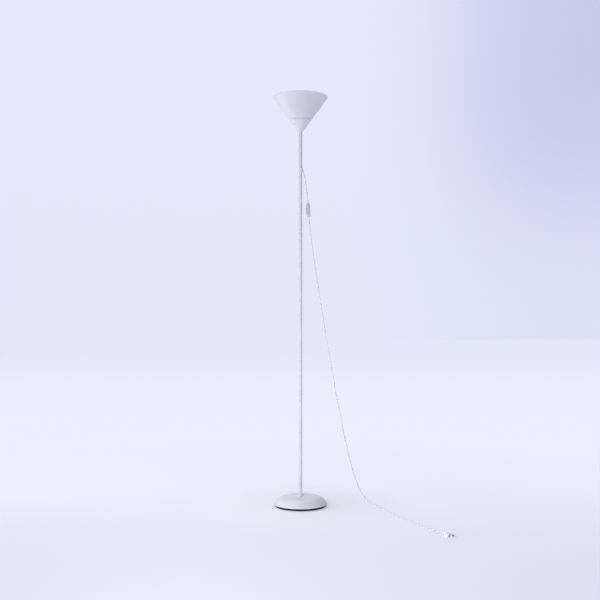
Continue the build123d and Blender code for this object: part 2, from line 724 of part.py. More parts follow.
# Local frame of the switch: +X out of the rocker's face, +Z up along the cord.
switch_plane = Plane(origin=(switch_top + switch_bottom) * 0.5, x_dir=face_out, z_dir=switch_up)
switch_half = SWITCH_LENGTH / 2
face_level = SWITCH_THICKNESS / 2
pin_level = face_level - ROCKER_PIN_DEPTH
pin_tip = ROCKER_WIDTH / 2 + ROCKER_PIN_REACH
screw_head_top = SCREW_RECESS + SCREW_HEAD - face_level


def in_face(sketch, start, end):
    """A sketch in the plane of the switch's face, extruded between two levels along local X."""
    return extrude(Plane(origin=(start, 0, 0), x_dir=(0, 1, 0), z_dir=(1, 0, 0)) * sketch, end - start)


def switch_blank(inset):
    """Rounded block of the whole housing, made smaller all round by inset."""
    outline = RectangleRounded(
        SWITCH_WIDTH - 2 * inset, 2 * (switch_half - inset), SWITCH_CORNER - inset
    )
    block = in_face(outline, inset - face_level, face_level - inset)
    rims = block.faces().sort_by(Axis.X)
    edges = rims[0].edges() + rims[-1].edges()
    return fillet(edges, max(SWITCH_EDGE - inset, 0.8))


def screw_places():
    """Local Z of the two housing screws."""
    return (-SWITCH_SCREW_SPREAD, SWITCH_SCREW_SPREAD)


def along_x(radius, start, end, y=0.0, z=0.0):
    """A rod along local X between two levels."""
    return Pos(0, y, z) * in_face(Circle(radius), start, end)


def housing_half(front):
    """One half of the housing: shell, cord channels, screw posts and, in front, the rocker's ears."""
    length = 2 * SWITCH_LENGTH
    seam = SHELL_GAP / 2
    inner = face_level - SWITCH_WALL / 2
    keep = (seam, length) if front else (-length, -seam)
    post = (seam, inner) if front else (-inner, -seam)
    half = switch_blank(0) - switch_blank(SWITCH_WALL)
    half &= in_face(Rectangle(length, length), *keep)
    for z in screw_places():
        half += along_x(POST_RADIUS, *post, SCREW_SIDE, z)
    if front:
        half = with_rocker_opening(half)
        for z in screw_places():
            half -= along_x(SWITCH_SCREW_RADIUS + THREAD_PLAY, 0, SWITCH_SCREW_TIP + PLAY, SCREW_SIDE, z)
    else:
        for z in screw_places():
            half -= along_x(SWITCH_SCREW_RADIUS + PLAY, -length, 0, SCREW_SIDE, z)
            half -= along_x(SCREW_HEAD_RADIUS + PLAY, -length, screw_head_top, SCREW_SIDE, z)
    return half - Cylinder(CORD_DIAMETER / 2 + PLAY, length)


def with_rocker_opening(half):
    """The front half with the rocker's opening, and two ears that its stub pins turn in."""
    opening = Rectangle(ROCKER_WIDTH + 2 * ROCKER_GAP, 2 * (ROCKER_SWING_RADIUS + ROCKER_GAP))
    half -= in_face(opening, 0, SWITCH_LENGTH)
    for side in (-1, 1):
        middle = side * (ROCKER_WIDTH + EAR_WALL + 2 * ROCKER_GAP) / 2
        ear = Pos(0, middle, 0) * in_face(
            Rectangle(EAR_WALL, EAR_HEIGHT), SHELL_GAP / 2, face_level - SWITCH_WALL / 2
        )
        half += ear
    return half - across(ROCKER_PIN_RADIUS + ROCKER_PIN_PLAY, pin_tip + PLAY)


def across(radius, reach):
    """A rod on the rocker's pin axis, across the switch, that reaches as far to both sides."""
    return Pos(pin_level, 0, 0) * Rot(90, 0, 0) * Cylinder(radius, 2 * reach)


def switch_front_shell():
    """Front half of the switch housing, with the rocker's opening."""
    return switch_plane * housing_half(True)


def switch_back_shell():
    """Back half of the switch housing, with countersunk screw holes."""
    return switch_plane * housing_half(False)


def switch_rocker():
    """Rocker on two stub pins, tilted to the end of its travel."""
    back = pin_level - ROCKER_TONGUE
    high = face_level + ROCKER_RISE
    end = ROCKER_SWING_RADIUS + 1
    outline = make_face(Polyline(
        (back, -ROCKER_TONGUE_HALF), (high, -end), (high - ROCKER_DIP, 0), (high, end),
        (back, ROCKER_TONGUE_HALF), close=True,
    ))
    prism = extrude(Plane.XZ * outline, ROCKER_WIDTH / 2, both=True)
    rocker = (prism & across(ROCKER_SWING_RADIUS, ROCKER_WIDTH / 2)) + across(ROCKER_PIN_RADIUS, pin_tip)
    tilt = Pos(pin_level, 0, 0) * Rot(0, ROCKER_TILT, 0) * Pos(-pin_level, 0, 0)
    return switch_plane * (tilt * rocker)


def switch_contacts():
    """Brass terminals of the switched wire, one towards each end of the housing."""
    thick, wide, tall = CONTACT_BLOCK
    on_back = SWITCH_WALL - face_level + thick / 2
    blocks = [Pos(on_back, -CONTACT_SIDE, z) * Box(thick, wide, tall) for z in screw_places()]
    return switch_plane * Compound(blocks)


def switch_screws():
    """Two small screws that hold the halves together, from the back."""
    head_bottom_level = SCREW_RECESS - face_level
    screws = []
    for z in screw_places():
        shank = along_x(SWITCH_SCREW_RADIUS, screw_head_top, SWITCH_SCREW_TIP, SCREW_SIDE, z)
        head = along_x(SCREW_HEAD_RADIUS, head_bottom_level, screw_head_top, SCREW_SIDE, z)
        slot = Pos(head_bottom_level, SCREW_SIDE, z) * Box(SCREW_HEAD, SCREW_SLOT, 3 * SCREW_HEAD_RADIUS)
        screws.append(shank + head - slot)
    return switch_plane * Compound(screws)


switch_hinge = switch_plane.from_local_coords(Vector(pin_level, 0, 0))


# ================================================================ plug

tail_start, tail_end = Vector(*LOWER_ROUTE[-2]), Vector(*LOWER_ROUTE[-1])
plug_out = Vector(tail_end.X - tail_start.X, tail_end.Y - tail_start.Y, 0).normalized()
# Local frame of the plug: +X along the pins, +Z up; the relief's tip is at the origin.
plug_plane = Plane(origin=tail_end, x_dir=plug_out, z_dir=(0, 0, 1))
body_start = RELIEF_LENGTH
body_end = body_start + PLUG_LENGTH


def pin_rod(radius, start, end, side):
    """A rod along the plug's local X, at one of the two pin places."""
    return rod(radius, Plane(origin=(start, side * PIN_SPACING / 2, 0), z_dir=(1, 0, 0)), end - start)


def plug_body():
    """Moulded flat body, with two holes for the pins' roots."""
    half = PLUG_WIDTH / 2
    tail = PLUG_TAIL_WIDTH / 2
    corners = [
        (body_start, tail), (body_start + PLUG_TAIL_LENGTH, tail + 1.6),
        (body_start + PLUG_SHOULDER, half), (body_end, half),
    ]
    mirrored = [(x, -y) for x, y in reversed(corners)]
    outline = make_face(Polyline(*corners, *mirrored, close=True))
    outline = fillet(outline.vertices().sort_by(Axis.X)[2:], PLUG_CORNER)
    block = extrude(outline, PLUG_THICKNESS / 2, both=True)
    rims = block.faces().filter_by(Axis.Z)
    block = fillet(rims[0].edges() + rims[-1].edges(), PLUG_EDGE)
    for side in (-1, 1):
        block -= pin_rod(PIN_RADIUS, body_end - PIN_ROOT, body_end + 1, side)
    return plug_plane * block


def plug_pins():
    """Two round pins, necked where the insulating sleeves sit."""
    pins = []
    for side in (-1, 1):
        root = pin_rod(PIN_RADIUS, body_end - PIN_ROOT, body_end, side)
        neck = pin_rod(PIN_NECK_RADIUS, body_end, body_end + PIN_SLEEVE, side)
        tip = pin_rod(PIN_RADIUS, body_end + PIN_SLEEVE, body_end + PIN_REACH, side)
        pins.append(root + neck + chamfer(tip.edges().sort_by(Axis.X)[-1], PIN_CHAMFER))
    return plug_plane * Compound(pins)


def plug_pin_sleeves():
    """Insulating sleeves round the pins' necks."""
    span = (body_end, body_end + PIN_SLEEVE)
    sleeves = [
        pin_rod(PIN_RADIUS - PIN_SLEEVE_INSET, *span, side) - pin_rod(PIN_NECK_RADIUS, *span, side)
        for side in (-1, 1)
    ]
    return plug_plane * Compound(sleeves)


def plug_relief():
    """Tapered strain relief between the cord and the plug's body, with slots round a spine."""
    along = Plane(origin=(0, 0, 0), z_dir=(1, 0, 0))
    cone = along * Cone(
        RELIEF_TIP_RADIUS, RELIEF_ROOT_RADIUS, RELIEF_LENGTH,
        align=(Align.CENTER, Align.CENTER, Align.MIN),
    )
    spine = rod(CORD_DIAMETER / 2 + PLAY, along, RELIEF_LENGTH)
    for k in range(RELIEF_SLOTS):
        slot = Pos(RELIEF_PITCH * (k + 1), 0, 0) * Box(RELIEF_SLOT, PLUG_WIDTH, PLUG_WIDTH)
        cone -= slot - spine
    return plug_plane * cone


# ================================================================ export

def build():
    """Every node's name and solid."""
    nodes = {
        piece.__name__: piece()
        for piece in (
            base_cover, base_foot_ring, base_bottom_plate, base_weight, base_bolt, base_washer,
            foot_collar, pole_foot_insert, pole_top_insert, cord_grommet, socket_cup, shade,
            top_nipple, cup_washer, cup_nut, holder_base, holder_sleeve, holder_core,
            holder_screw_shell, holder_contact, holder_terminals, shade_ring, bulb_contact, bulb_insulator,
            bulb_cap, bulb_housing, bulb_led_board, bulb_diffuser, cord_inner, lead_wires,
            switch_front_shell, switch_back_shell, switch_rocker, switch_contacts, switch_screws,
            plug_body, plug_pins, plug_pin_sleeves, plug_relief,
        )
    }
    for index, name in enumerate(("lower", "middle", "upper")):
        nodes[f"pole_{name}"] = pole_section(index)
    for index, name in ((1, "lower"), (2, "upper")):
        nodes[f"{name}_joint_stud"] = joint_stud(index)
        nodes[f"{name}_joint_insert"] = joint_insert(index)
    nodes["cord_upper"] = cord_tube("cord_upper", UPPER_ROUTE, CORD_DIAMETER / 2)
    nodes["cord_lower"] = cord_tube("cord_lower", LOWER_ROUTE, CORD_DIAMETER / 2)
    return nodes


os.makedirs("parts", exist_ok=True)
for node, solid in build().items():
    solid.label = node
    export_step(solid, f"parts/{node}.step")
print(f"overall height {rim_height + RIM_BEAD:.1f}")
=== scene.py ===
"""Torchiere floor lamp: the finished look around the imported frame.

Every piece is in metres, in the lamp's own frame: the origin is on the floor under the base,
+Z is up the pole, the cord leaves towards -Y and hangs to +X.
"""

import logging
from dataclasses import dataclass
from enum import Enum
from math import atan2, cos, pi, radians, sin, sqrt, tau
from typing import Callable, Sequence

import bmesh
import bpy
import numpy as np
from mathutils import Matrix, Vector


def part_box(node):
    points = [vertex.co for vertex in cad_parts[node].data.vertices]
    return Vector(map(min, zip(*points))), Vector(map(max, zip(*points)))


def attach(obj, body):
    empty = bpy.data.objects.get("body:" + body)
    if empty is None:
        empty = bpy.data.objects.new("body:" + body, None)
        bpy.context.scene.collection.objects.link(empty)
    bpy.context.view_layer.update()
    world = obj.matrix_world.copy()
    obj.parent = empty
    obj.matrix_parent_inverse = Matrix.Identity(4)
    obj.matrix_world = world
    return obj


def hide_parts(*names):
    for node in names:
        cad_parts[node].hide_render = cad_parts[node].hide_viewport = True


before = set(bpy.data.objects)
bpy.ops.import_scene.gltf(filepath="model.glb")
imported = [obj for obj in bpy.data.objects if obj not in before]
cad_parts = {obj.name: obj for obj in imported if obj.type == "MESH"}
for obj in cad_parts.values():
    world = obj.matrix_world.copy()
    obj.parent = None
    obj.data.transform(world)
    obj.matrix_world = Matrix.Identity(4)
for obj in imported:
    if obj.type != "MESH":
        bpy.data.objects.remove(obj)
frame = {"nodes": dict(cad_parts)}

Array = np.ndarray
Point = tuple[float, float, float]
Colour = tuple[float, float, float]
Flat = tuple[float, float]
Piece = bpy.types.Object
Coat = bpy.types.Material

LEVEL_ACROSS = (0.7071, 0.7071, 0.0)

log = logging.getLogger("torchiere")


# ---- shader maths

class Value:
    """A shader socket that takes part in Python arithmetic; each operator adds one Math node."""

    def __init__(self, graph: "Graph", socket: bpy.types.NodeSocket) -> None:
        """Wrap an output socket of a graph."""
        self.graph = graph
        self.socket = socket

    def _math(self, operation: str, *others: "Value | float") -> "Value":
        """Add a Math node whose inputs are this value and the others."""
        return self.graph.node("ShaderNodeMath", {"operation": operation}, dict(enumerate((self, *others))))

    def __add__(self, other: "Value | float") -> "Value":
        """Sum."""
        return self._math("ADD", other)

    __radd__ = __add__

    def __mul__(self, other: "Value | float") -> "Value":
        """Product."""
        return self._math("MULTIPLY", other)

    __rmul__ = __mul__

    def __sub__(self, other: "Value | float") -> "Value":
        """Difference."""
        return self._math("SUBTRACT", other)

    def __rsub__(self, other: float) -> "Value":
        """A number less this value."""
        return self.graph.node("ShaderNodeMath", {"operation": "SUBTRACT"}, {0: other, 1: self})

    def sine(self) -> "Value":
        """Sine of a value in radians."""
        return self._math("SINE")

    def ramp(self, low: float, high: float, to_low: float = 0.0, to_high: float = 1.0) -> "Value":
        """Smooth step of the value from one range to another.

        Args:
            low: value that gives to_low.
            high: value that gives to_high.
            to_low: result at and before low.
            to_high: result at and after high.

        Returns:
            The remapped value.
        """
        return self.graph.node(
            "ShaderNodeMapRange",
            {"interpolation_type": "SMOOTHSTEP"},
            {"Value": self, "From Min": low, "From Max": high, "To Min": to_low, "To Max": to_high},
        )


class Graph:
    """The node tree of a material or of the studio's air, built by expressions."""

    def __init__(self, owner: "Coat | bpy.types.World", output: str = "ShaderNodeOutputMaterial",
                 shader: str = "ShaderNodeBsdfPrincipled") -> None:
        """Start an empty tree with an output and a shader.

        Args:
            owner: the material or world that holds the tree.
            output: the output node's type.
            shader: the shader node's type.
        """
        owner.use_nodes = True
        self.owner = owner
        self.tree = owner.node_tree
        self.tree.nodes.clear()
        self.output = self.tree.nodes.new(output)
        self.shader = self.tree.nodes.new(shader)
        self.tree.links.new(self.shader.outputs[0], self.output.inputs["Surface"])

    def feed(self, socket: bpy.types.NodeSocket, value: "Value | float | Sequence[float]") -> None:
        """Link a value into an input socket, or set the socket's own number or colour."""
        if isinstance(value, Value):
            self.tree.links.new(value.socket, socket)
        elif socket.type == "RGBA":
            socket.default_value = (*value, 1.0)
        else:
            socket.default_value = value

    def node(self, kind: str, settings: dict, inputs: dict, output: "int | str" = 0) -> Value:
        """Add any node.

        Args:
            kind: the node's type.
            settings: attributes to set first, such as a Math node's operation.
            inputs: values or links, by socket name or number.
            output: which output to return.

        Returns:
            The chosen output, wrapped.
        """
        made = self.tree.nodes.new(kind)
        for key, setting in settings.items():
            setattr(made, key, setting)
        for key, value in inputs.items():
            self.feed(made.inputs[key], value)
        return Value(self, made.outputs[output])

    def place(self, scale: Point = (1.0, 1.0, 1.0)) -> Value:
        """Object coordinates in metres, scaled."""
        where = self.node("ShaderNodeTexCoord", {}, {}, "Object")
        return self.node("ShaderNodeMapping", {}, {"Vector": where, "Scale": scale})

    def axis(self, vector: Value, name: str) -> Value:
        """One component of a vector, X, Y or Z."""
        return self.node("ShaderNodeSeparateXYZ", {}, {0: vector}, name)

    def noise(self, where: Value, scale: float, detail: float = 4.0, roughness: float = 0.5) -> Value:
        """Noise from 0 to 1 at a scale in cells per metre."""
        inputs = {"Vector": where, "Scale": scale, "Detail": detail, "Roughness": roughness}
        return self.node("ShaderNodeTexNoise", {}, inputs)

    def cells(self, where: Value, scale: float) -> Value:
        """Distance to the nearest cell point at a scale in cells per metre."""
        return self.node("ShaderNodeTexVoronoi", {}, {"Vector": where, "Scale": scale}, "Distance")

    def mix(self, factor: "Value | float", first: "Value | Colour", second: "Value | Colour") -> Value:
        """Colour mixed from two colours by a factor from 0 to 1."""
        return self.node("ShaderNodeMix", {"data_type": "RGBA"}, {0: factor, 6: first, 7: second}, 2)

    def tint(self, colour: "Value | Colour", amount: Value) -> Value:
        """A colour scaled by a value, through Vector Math."""
        return self.node("ShaderNodeVectorMath", {"operation": "SCALE"}, {0: colour, "Scale": amount})

    def bump(self, height: Value, strength: float, distance: float) -> Value:
        """A normal from a height from 0 to 1 that stands for a distance in metres."""
        inputs = {"Strength": strength, "Distance": distance, "Height": height}
        return self.node("ShaderNodeBump", {}, inputs, "Normal")

    def set(self, **values: "Value | float | Sequence[float]") -> "Coat | bpy.types.World":
        """Feed sockets of the shader, named with underscores for spaces, and return the tree's owner."""
        for key, value in values.items():
            self.feed(self.shader.inputs[key.replace("_", " ")], value)
        return self.owner


# ---- finishes

@dataclass(frozen=True)
class Finish:
    """A named finish."""

    name: str

    def start(self) -> tuple[Graph, Value]:
        """The graph of a new material and its object coordinates."""
        graph = Graph(bpy.data.materials.new(self.name))
        return graph, graph.place()


@dataclass(frozen=True)
class Enamel(Finish):
    """Baked enamel on sheet steel: a fine orange peel, faint handling marks and a soft gloss."""

    colour: Colour = (0.605, 0.62, 0.66)
    shade: Colour = (0.565, 0.58, 0.62)
    gloss: float = 0.40
    peel: float = 0.00004

    def material(self) -> Coat:
        """Build the material."""
        g, where = self.start()
        clouds = g.noise(where, 7.0, 3.0)
        grain = g.noise(where, 900.0, 2.0)
        smears = g.noise(g.place(scale=(1.0, 1.0, 0.25)), 60.0, 5.0, 0.62)
        colour = g.mix(clouds.ramp(0.35, 0.75), self.colour, self.shade)
        colour = g.mix(grain.ramp(0.55, 0.85, 0.0, 0.10), colour, self.shade)
        peel = g.noise(where, 420.0, 1.5, 0.4) + g.noise(where, 1500.0, 1.0) * 0.25
        rough = self.gloss + smears.ramp(0.45, 0.8) * 0.12 + clouds * 0.05
        return g.set(
            Base_Color=colour, Roughness=rough, Normal=g.bump(peel, 0.22, self.peel),
            IOR=1.45, Coat_Weight=0.06 + smears * 0.08, Coat_Roughness=0.25,
        )


@dataclass(frozen=True)
class Reflector(Finish):
    """Inside of the shade: the same enamel, warmer and more matt, with dust towards the bottom."""

    colour: Colour = (0.86, 0.86, 0.85)
    dust: Colour = (0.62, 0.60, 0.57)
    foot: float = 1.684
    rim: float = 1.784

    def material(self) -> Coat:
        """Build the material."""
        g, where = self.start()
        height = g.axis(where, "Z").ramp(self.foot, self.rim)
        specks = g.noise(where, 700.0, 3.0, 0.7).ramp(0.58, 0.70)
        dusty = (1.0 - height) * g.noise(where, 45.0, 4.0).ramp(0.35, 0.75)
        colour = g.mix(dusty * 0.55 + specks * 0.12, self.colour, self.dust)
        rough = 0.42 + dusty * 0.3 + specks * 0.1
        return g.set(Base_Color=colour, Roughness=rough,
                     Normal=g.bump(g.noise(where, 500.0, 2.0), 0.25, 0.00005))


@dataclass(frozen=True)
class Rubber(Finish):
    """Matt black rubber with a fine grain, dust and scuffs near the floor."""

    colour: Colour = (0.012, 0.012, 0.014)
    dust: Colour = (0.07, 0.068, 0.066)
    floor_line: float = 0.003

    def material(self) -> Coat:
        """Build the material."""
        g, where = self.start()
        low = 1.0 - g.axis(where, "Z").ramp(0.0, self.floor_line)
        scuff = g.noise(where, 160.0, 5.0, 0.7).ramp(0.5, 0.75)
        grain = g.noise(where, 1800.0, 2.0)
        colour = g.mix(low * scuff * 0.6 + grain.ramp(0.6, 0.8) * 0.06, self.colour, self.dust)
        return g.set(Base_Color=colour, Roughness=0.74 + scuff * 0.2, Specular_IOR_Level=0.18,
                     Normal=g.bump(grain, 0.4, 0.00008))


@dataclass(frozen=True)
class Plated(Finish):
    """Plated steel or nickel: fine turning lines round an axis, stains and dulled patches."""

    colour: Colour
    stain: Colour
    gloss: float = 0.28
    lines: float = 2600.0
    metal: float = 1.0

    def material(self) -> Coat:
        """Build the material."""
        g, where = self.start()
        turned = g.noise(g.place(scale=(0.08, 0.08, 1.0)), self.lines, 2.0)
        stains = g.noise(where, 130.0, 5.0, 0.65).ramp(0.48, 0.78)
        colour = g.mix(stains * 0.5, self.colour, self.stain)
        return g.set(
            Base_Color=colour, Metallic=self.metal - stains * 0.08,
            Roughness=self.gloss + stains * 0.22 + turned * 0.08,
            Normal=g.bump(turned, 0.18, 0.00003),
        )


@dataclass(frozen=True)
class CastIron(Finish):
    """As-cast iron under a black dip: a pebbled skin with pits."""

    colour: Colour = (0.045, 0.045, 0.05)
    bare: Colour = (0.19, 0.17, 0.16)

    def material(self) -> Coat:
        """Build the material."""
        g, where = self.start()
        skin = g.noise(where, 380.0, 6.0, 0.7)
        pits = g.cells(where, 260.0).ramp(0.1, 0.45)
        worn = g.noise(where, 40.0, 4.0).ramp(0.55, 0.8)
        return g.set(
            Base_Color=g.mix(worn * 0.7, self.colour, self.bare), Metallic=0.25 + worn * 0.4,
            Roughness=0.7 - worn * 0.15, Normal=g.bump(skin * 0.7 + pits * 0.5, 0.7, 0.0004),
        )


class Sheen(Enum):
    """How a moulding's skin was finished in its tool: its roughness and the depth of its grain."""

    POLISHED = (0.22, 0.00001)
    SATIN = (0.36, 0.00003)
    SPARKED = (0.50, 0.00008)


@dataclass(frozen=True)
class Moulding(Finish):
    """Moulded plastic: a tool grain, a faint flow of the colour and light handling marks."""

    colour: Colour
    flow: Colour
    sheen: Sheen = Sheen.SATIN
    grain: float = 1400.0
    scatter: float = 0.0

    def material(self) -> Coat:
        """Build the material."""
        g, where = self.start()
        rough, depth = self.sheen.value
        flow = g.noise(where, 55.0, 3.0).ramp(0.3, 0.8)
        marks = g.noise(where, 240.0, 6.0, 0.72).ramp(0.56, 0.74)
        skin = g.noise(where, self.grain, 2.0)
        g.set(
            Base_Color=g.mix(flow * 0.7 + marks * 0.15, self.colour, self.flow),
            Roughness=rough + marks * 0.14 + skin * 0.06, Normal=g.bump(skin, 0.35, depth),
        )
        return g.set(Subsurface_Weight=self.scatter, Subsurface_Radius=(0.004, 0.004, 0.005),
                     Subsurface_Scale=0.3, IOR=1.49)


@dataclass(frozen=True)
class Opal(Finish):
    """Opal globe of a bulb: milky plastic with a soft sheen, darkened towards its rim by painted shade."""

    colour: Colour = (0.90, 0.90, 0.87)
    rim: Colour = (0.78, 0.78, 0.75)
    rim_height: float = 1.7275
    top_height: float = 1.781

    def material(self) -> Coat:
        """Build the material."""
        g, where = self.start()
        height = g.axis(where, "Z").ramp(self.rim_height, self.top_height)
        milk = g.noise(where, 90.0, 3.0)
        # Painted shade: the rim colour darkens the globe's lower part, where it meets the housing, and
        # leaves the top lighter.
        colour = g.mix(height.ramp(0.0, 0.3), self.rim, self.colour)
        colour = g.mix(milk * 0.08, colour, self.rim)
        return g.set(Base_Color=colour, Roughness=0.3 + milk * 0.1, Subsurface_Weight=0.4,
                     Subsurface_Radius=(0.01, 0.01, 0.01), Subsurface_Scale=0.5,
                     Normal=g.bump(g.noise(where, 1200.0, 1.0), 0.15, 0.00002))


@dataclass(frozen=True)
class Sheath(Finish):
    """PVC sheath of the cord: extrusion lines along it, slight waves and dusty patches."""

    name: str = "cord_pvc"
    colour: Colour = (0.65, 0.66, 0.69)
    grime: Colour = (0.53, 0.535, 0.555)
    lines: float = 26.0
    metres: float = 1.0

    def material(self) -> Coat:
        """Build the material; the UV map runs round the cord in U and along it in V."""
        g, where = self.start()
        uv = g.node("ShaderNodeUVMap", {"uv_map": "along"}, {})
        around, along = g.axis(uv, "X"), g.axis(uv, "Y")
        drawn = (around * (self.lines * tau)).sine() * 0.5 + 0.5
        waves = (along * (self.metres * 90.0)).sine() * 0.5 + 0.5
        grime = g.noise(where, 35.0, 5.0, 0.65).ramp(0.45, 0.8)
        fine = g.noise(where, 1500.0, 2.0)
        height = drawn * 0.35 + waves * 0.25 + fine * 0.4
        return g.set(
            Base_Color=g.mix(grime * 0.5 + fine * 0.06, self.colour, self.grime),
            Roughness=0.38 + grime * 0.16 + fine * 0.06,
            Normal=g.bump(height, 0.25, 0.00006),
        )


@dataclass(frozen=True)
class Backdrop(Finish):
    """Plain pale paper that takes shadows near the lamp and glows like the air further away."""

    name: str = "studio_sweep"
    paper: Colour = (0.82, 0.82, 0.86)
    front: Colour = (0.74, 0.745, 0.90)
    middle: Colour = (0.835, 0.86, 0.985)
    air: Colour = (0.765, 0.81, 0.96)
    share: float = 0.10
    near: float = 0.12
    middle_ring: float = 0.55
    far: float = 2.2

    def material(self) -> Coat:
        """Build the material: the share of glow grows with the distance from the lamp."""
        g, where = self.start()
        away = g.node("ShaderNodeVectorMath", {"operation": "LENGTH"}, {0: where}, "Value")
        back = g.axis(where, "Y")
        fibres = g.noise(where, 3.0, 3.0)
        g.set(Base_Color=g.tint(self.paper, fibres * 0.02 + 0.99), Roughness=0.9, Specular_IOR_Level=0.1)
        light = g.mix(back.ramp(-1.2, 0.5), self.front, self.middle)
        light = g.mix(back.ramp(2.5, 18.0), light, self.air)
        glow = g.node("ShaderNodeEmission", {}, {"Color": light, "Strength": 1.0})
        pool = away.ramp(self.near, self.middle_ring, self.share, 0.8)
        share = pool + away.ramp(self.middle_ring, self.far, 0.0, 0.2)
        paper = Value(g, g.shader.outputs[0])
        both = g.node("ShaderNodeMixShader", {}, {0: share, 1: paper, 2: glow})
        g.tree.links.new(both.socket, g.output.inputs["Surface"])
        return g.owner


# ---- surfaces on grids

def grid_mesh(name: str, points: Array, closed_u: bool = True, closed_v: bool = False,
              caps: bool = False) -> Piece:
    """Make a mesh from a grid of points.

    Quads join each grid point to its neighbours along both parameters. The UV map "along" holds
    the share of the way round in U and the share of the length in V.

    Args:
        name: the object's name.
        points: array (rows along v, columns round u, 3).
        closed_u: whether the last column joins the first.
        closed_v: whether the last row joins the first.
        caps: whether the first and last rows are closed with a fan to their middle.

    Returns:
        The new object, at the origin.
    """
    rows, columns = points.shape[:2]
    vertices = points.reshape(-1, 3)
    v, u = np.meshgrid(
        np.arange(rows if closed_v else rows - 1), np.arange(columns if closed_u else columns - 1),
        indexing="ij",
    )
    v, u = v.ravel(), u.ravel()
    v2, u2 = (v + 1) % rows, (u + 1) % columns
    quads = np.stack([v * columns + u, v * columns + u2, v2 * columns + u2, v2 * columns + u], axis=1)
    round_u = np.stack([u, u + 1, u + 1, u], axis=1) / columns
    long_v = np.stack([v, v, v + 1, v + 1], axis=1) / max(rows - 1, 1)
    sizes = np.full(len(quads), 4)
    corners = quads.ravel()
    maps = np.stack([round_u.ravel(), long_v.ravel()], axis=1)
    if caps:
        ends = np.stack([points[0].mean(axis=0), points[-1].mean(axis=0)])
        first, last = len(vertices), len(vertices) + 1
        vertices = np.concatenate([vertices, ends])
        k = np.arange(columns if closed_u else columns - 1)
        k2 = (k + 1) % columns
        low = np.stack([np.full_like(k, first), k2, k], axis=1)
        top = (rows - 1) * columns
        high = np.stack([np.full_like(k, last), top + k, top + k2], axis=1)
        fans = np.concatenate([low, high])
        corners = np.concatenate([corners, fans.ravel()])
        sizes = np.concatenate([sizes, np.full(len(fans), 3)])
        maps = np.concatenate([maps, np.zeros((fans.size, 2))])
    mesh = bpy.data.meshes.new(name)
    mesh.vertices.add(len(vertices))
    mesh.vertices.foreach_set("co", vertices.astype(np.float32).ravel())
    mesh.loops.add(len(corners))
    mesh.loops.foreach_set("vertex_index", corners.astype(np.int32))
    mesh.polygons.add(len(sizes))
    starts = np.concatenate([[0], np.cumsum(sizes)[:-1]])
    mesh.polygons.foreach_set("loop_start", starts.astype(np.int32))
    mesh.update(calc_edges=True)
    layer = mesh.uv_layers.new(name="along")
    layer.data.foreach_set("uv", maps.astype(np.float32).ravel())
    mesh.polygons.foreach_set("use_smooth", np.ones(len(sizes), dtype=bool))
    mesh.validate()
    made = bpy.data.objects.new(name, mesh)
    bpy.context.collection.objects.link(made)
    return made


def outward(piece: Piece) -> Piece:
    """Merge doubles and turn every face outwards."""
    bm = bmesh.new()
    bm.from_mesh(piece.data)
    bmesh.ops.remove_doubles(bm, verts=bm.verts, dist=1e-7)
    bmesh.ops.recalc_face_normals(bm, faces=bm.faces)
    bm.to_mesh(piece.data)
    bm.free()
    return piece


def dress(piece: Piece, *materials: Coat) -> None:
    """Give a piece its materials, in the order of its slots."""
    piece.data.materials.clear()
    for material in materials:
        piece.data.materials.append(material)


def smooth_by_angle(piece: Piece, degrees: float = 32.0) -> None:
    """Shade a mesh smooth, with edges sharper than an angle kept crisp."""
    mesh = piece.data
    mesh.polygons.foreach_set("use_smooth", np.ones(len(mesh.polygons), dtype=bool))
    mesh.set_sharp_from_angle(angle=radians(degrees))


def arc(centre: Flat, radius: float, start: float, stop: float, count: int) -> Array:
    """Points centre + radius (cos a, sin a) of a circle, for a from start to stop in degrees."""
    a = np.radians(np.linspace(start, stop, count))
    return np.stack([centre[0] + radius * np.cos(a), centre[1] + radius * np.sin(a)], axis=1)


def tube_along(name: str, path: Array, radius: float, segments: int) -> Piece:
    """Round tube: path point plus radius times (side cos a + up sin a), capped at both ends.

    The tangent is the central difference. The side is the tangent crossed with a fixed level
    direction that no cord of this lamp runs along, and up is the tangent crossed with the side.

    Args:
        name: the object's name.
        path: array (n, 3).
        radius: of the tube.
        segments: columns round it.

    Returns:
        The tube, closed, with its faces outwards.
    """
    tangent = np.gradient(path, axis=0)
    tangent /= np.linalg.norm(tangent, axis=1, keepdims=True)
    side = np.cross(tangent, LEVEL_ACROSS)
    side /= np.linalg.norm(side, axis=1, keepdims=True)
    up = np.cross(tangent, side)
    turn = np.linspace(0.0, tau, segments, endpoint=False)[:, None]
    ring = side[:, None] * np.cos(turn) + up[:, None] * np.sin(turn)
    return outward(grid_mesh(name, path[:, None] + radius * ring, caps=True))


def bezier(control: Sequence[Flat], count: int) -> Array:
    """Points of a Bezier curve: the sum of control points weighted by the Bernstein polynomials."""
    t = np.linspace(0.0, 1.0, count)[:, None]
    points = [np.broadcast_to(np.asarray(p, dtype=float), (count, 2)) for p in control]
    while len(points) > 1:
        points = [(1 - t) * a + t * b for a, b in zip(points, points[1:])]
    return points[0]


def line(start: Flat, stop: Flat, count: int) -> Array:
    """Evenly spaced points on a straight line."""
    return np.linspace(start, stop, count)


def joined(*stretches: Array) -> Array:
    """One outline from several stretches, without the points that repeat."""
    points = np.concatenate(stretches)
    steps = np.linalg.norm(np.diff(points, axis=0), axis=1)
    return points[np.concatenate([[True], steps > 1e-7])]


def span(node: str) -> Flat:
    """Lowest and highest point of a CAD node."""
    low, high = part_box(node)
    return low.z, high.z


Relief = Callable[[Array, Array, Array], Array]


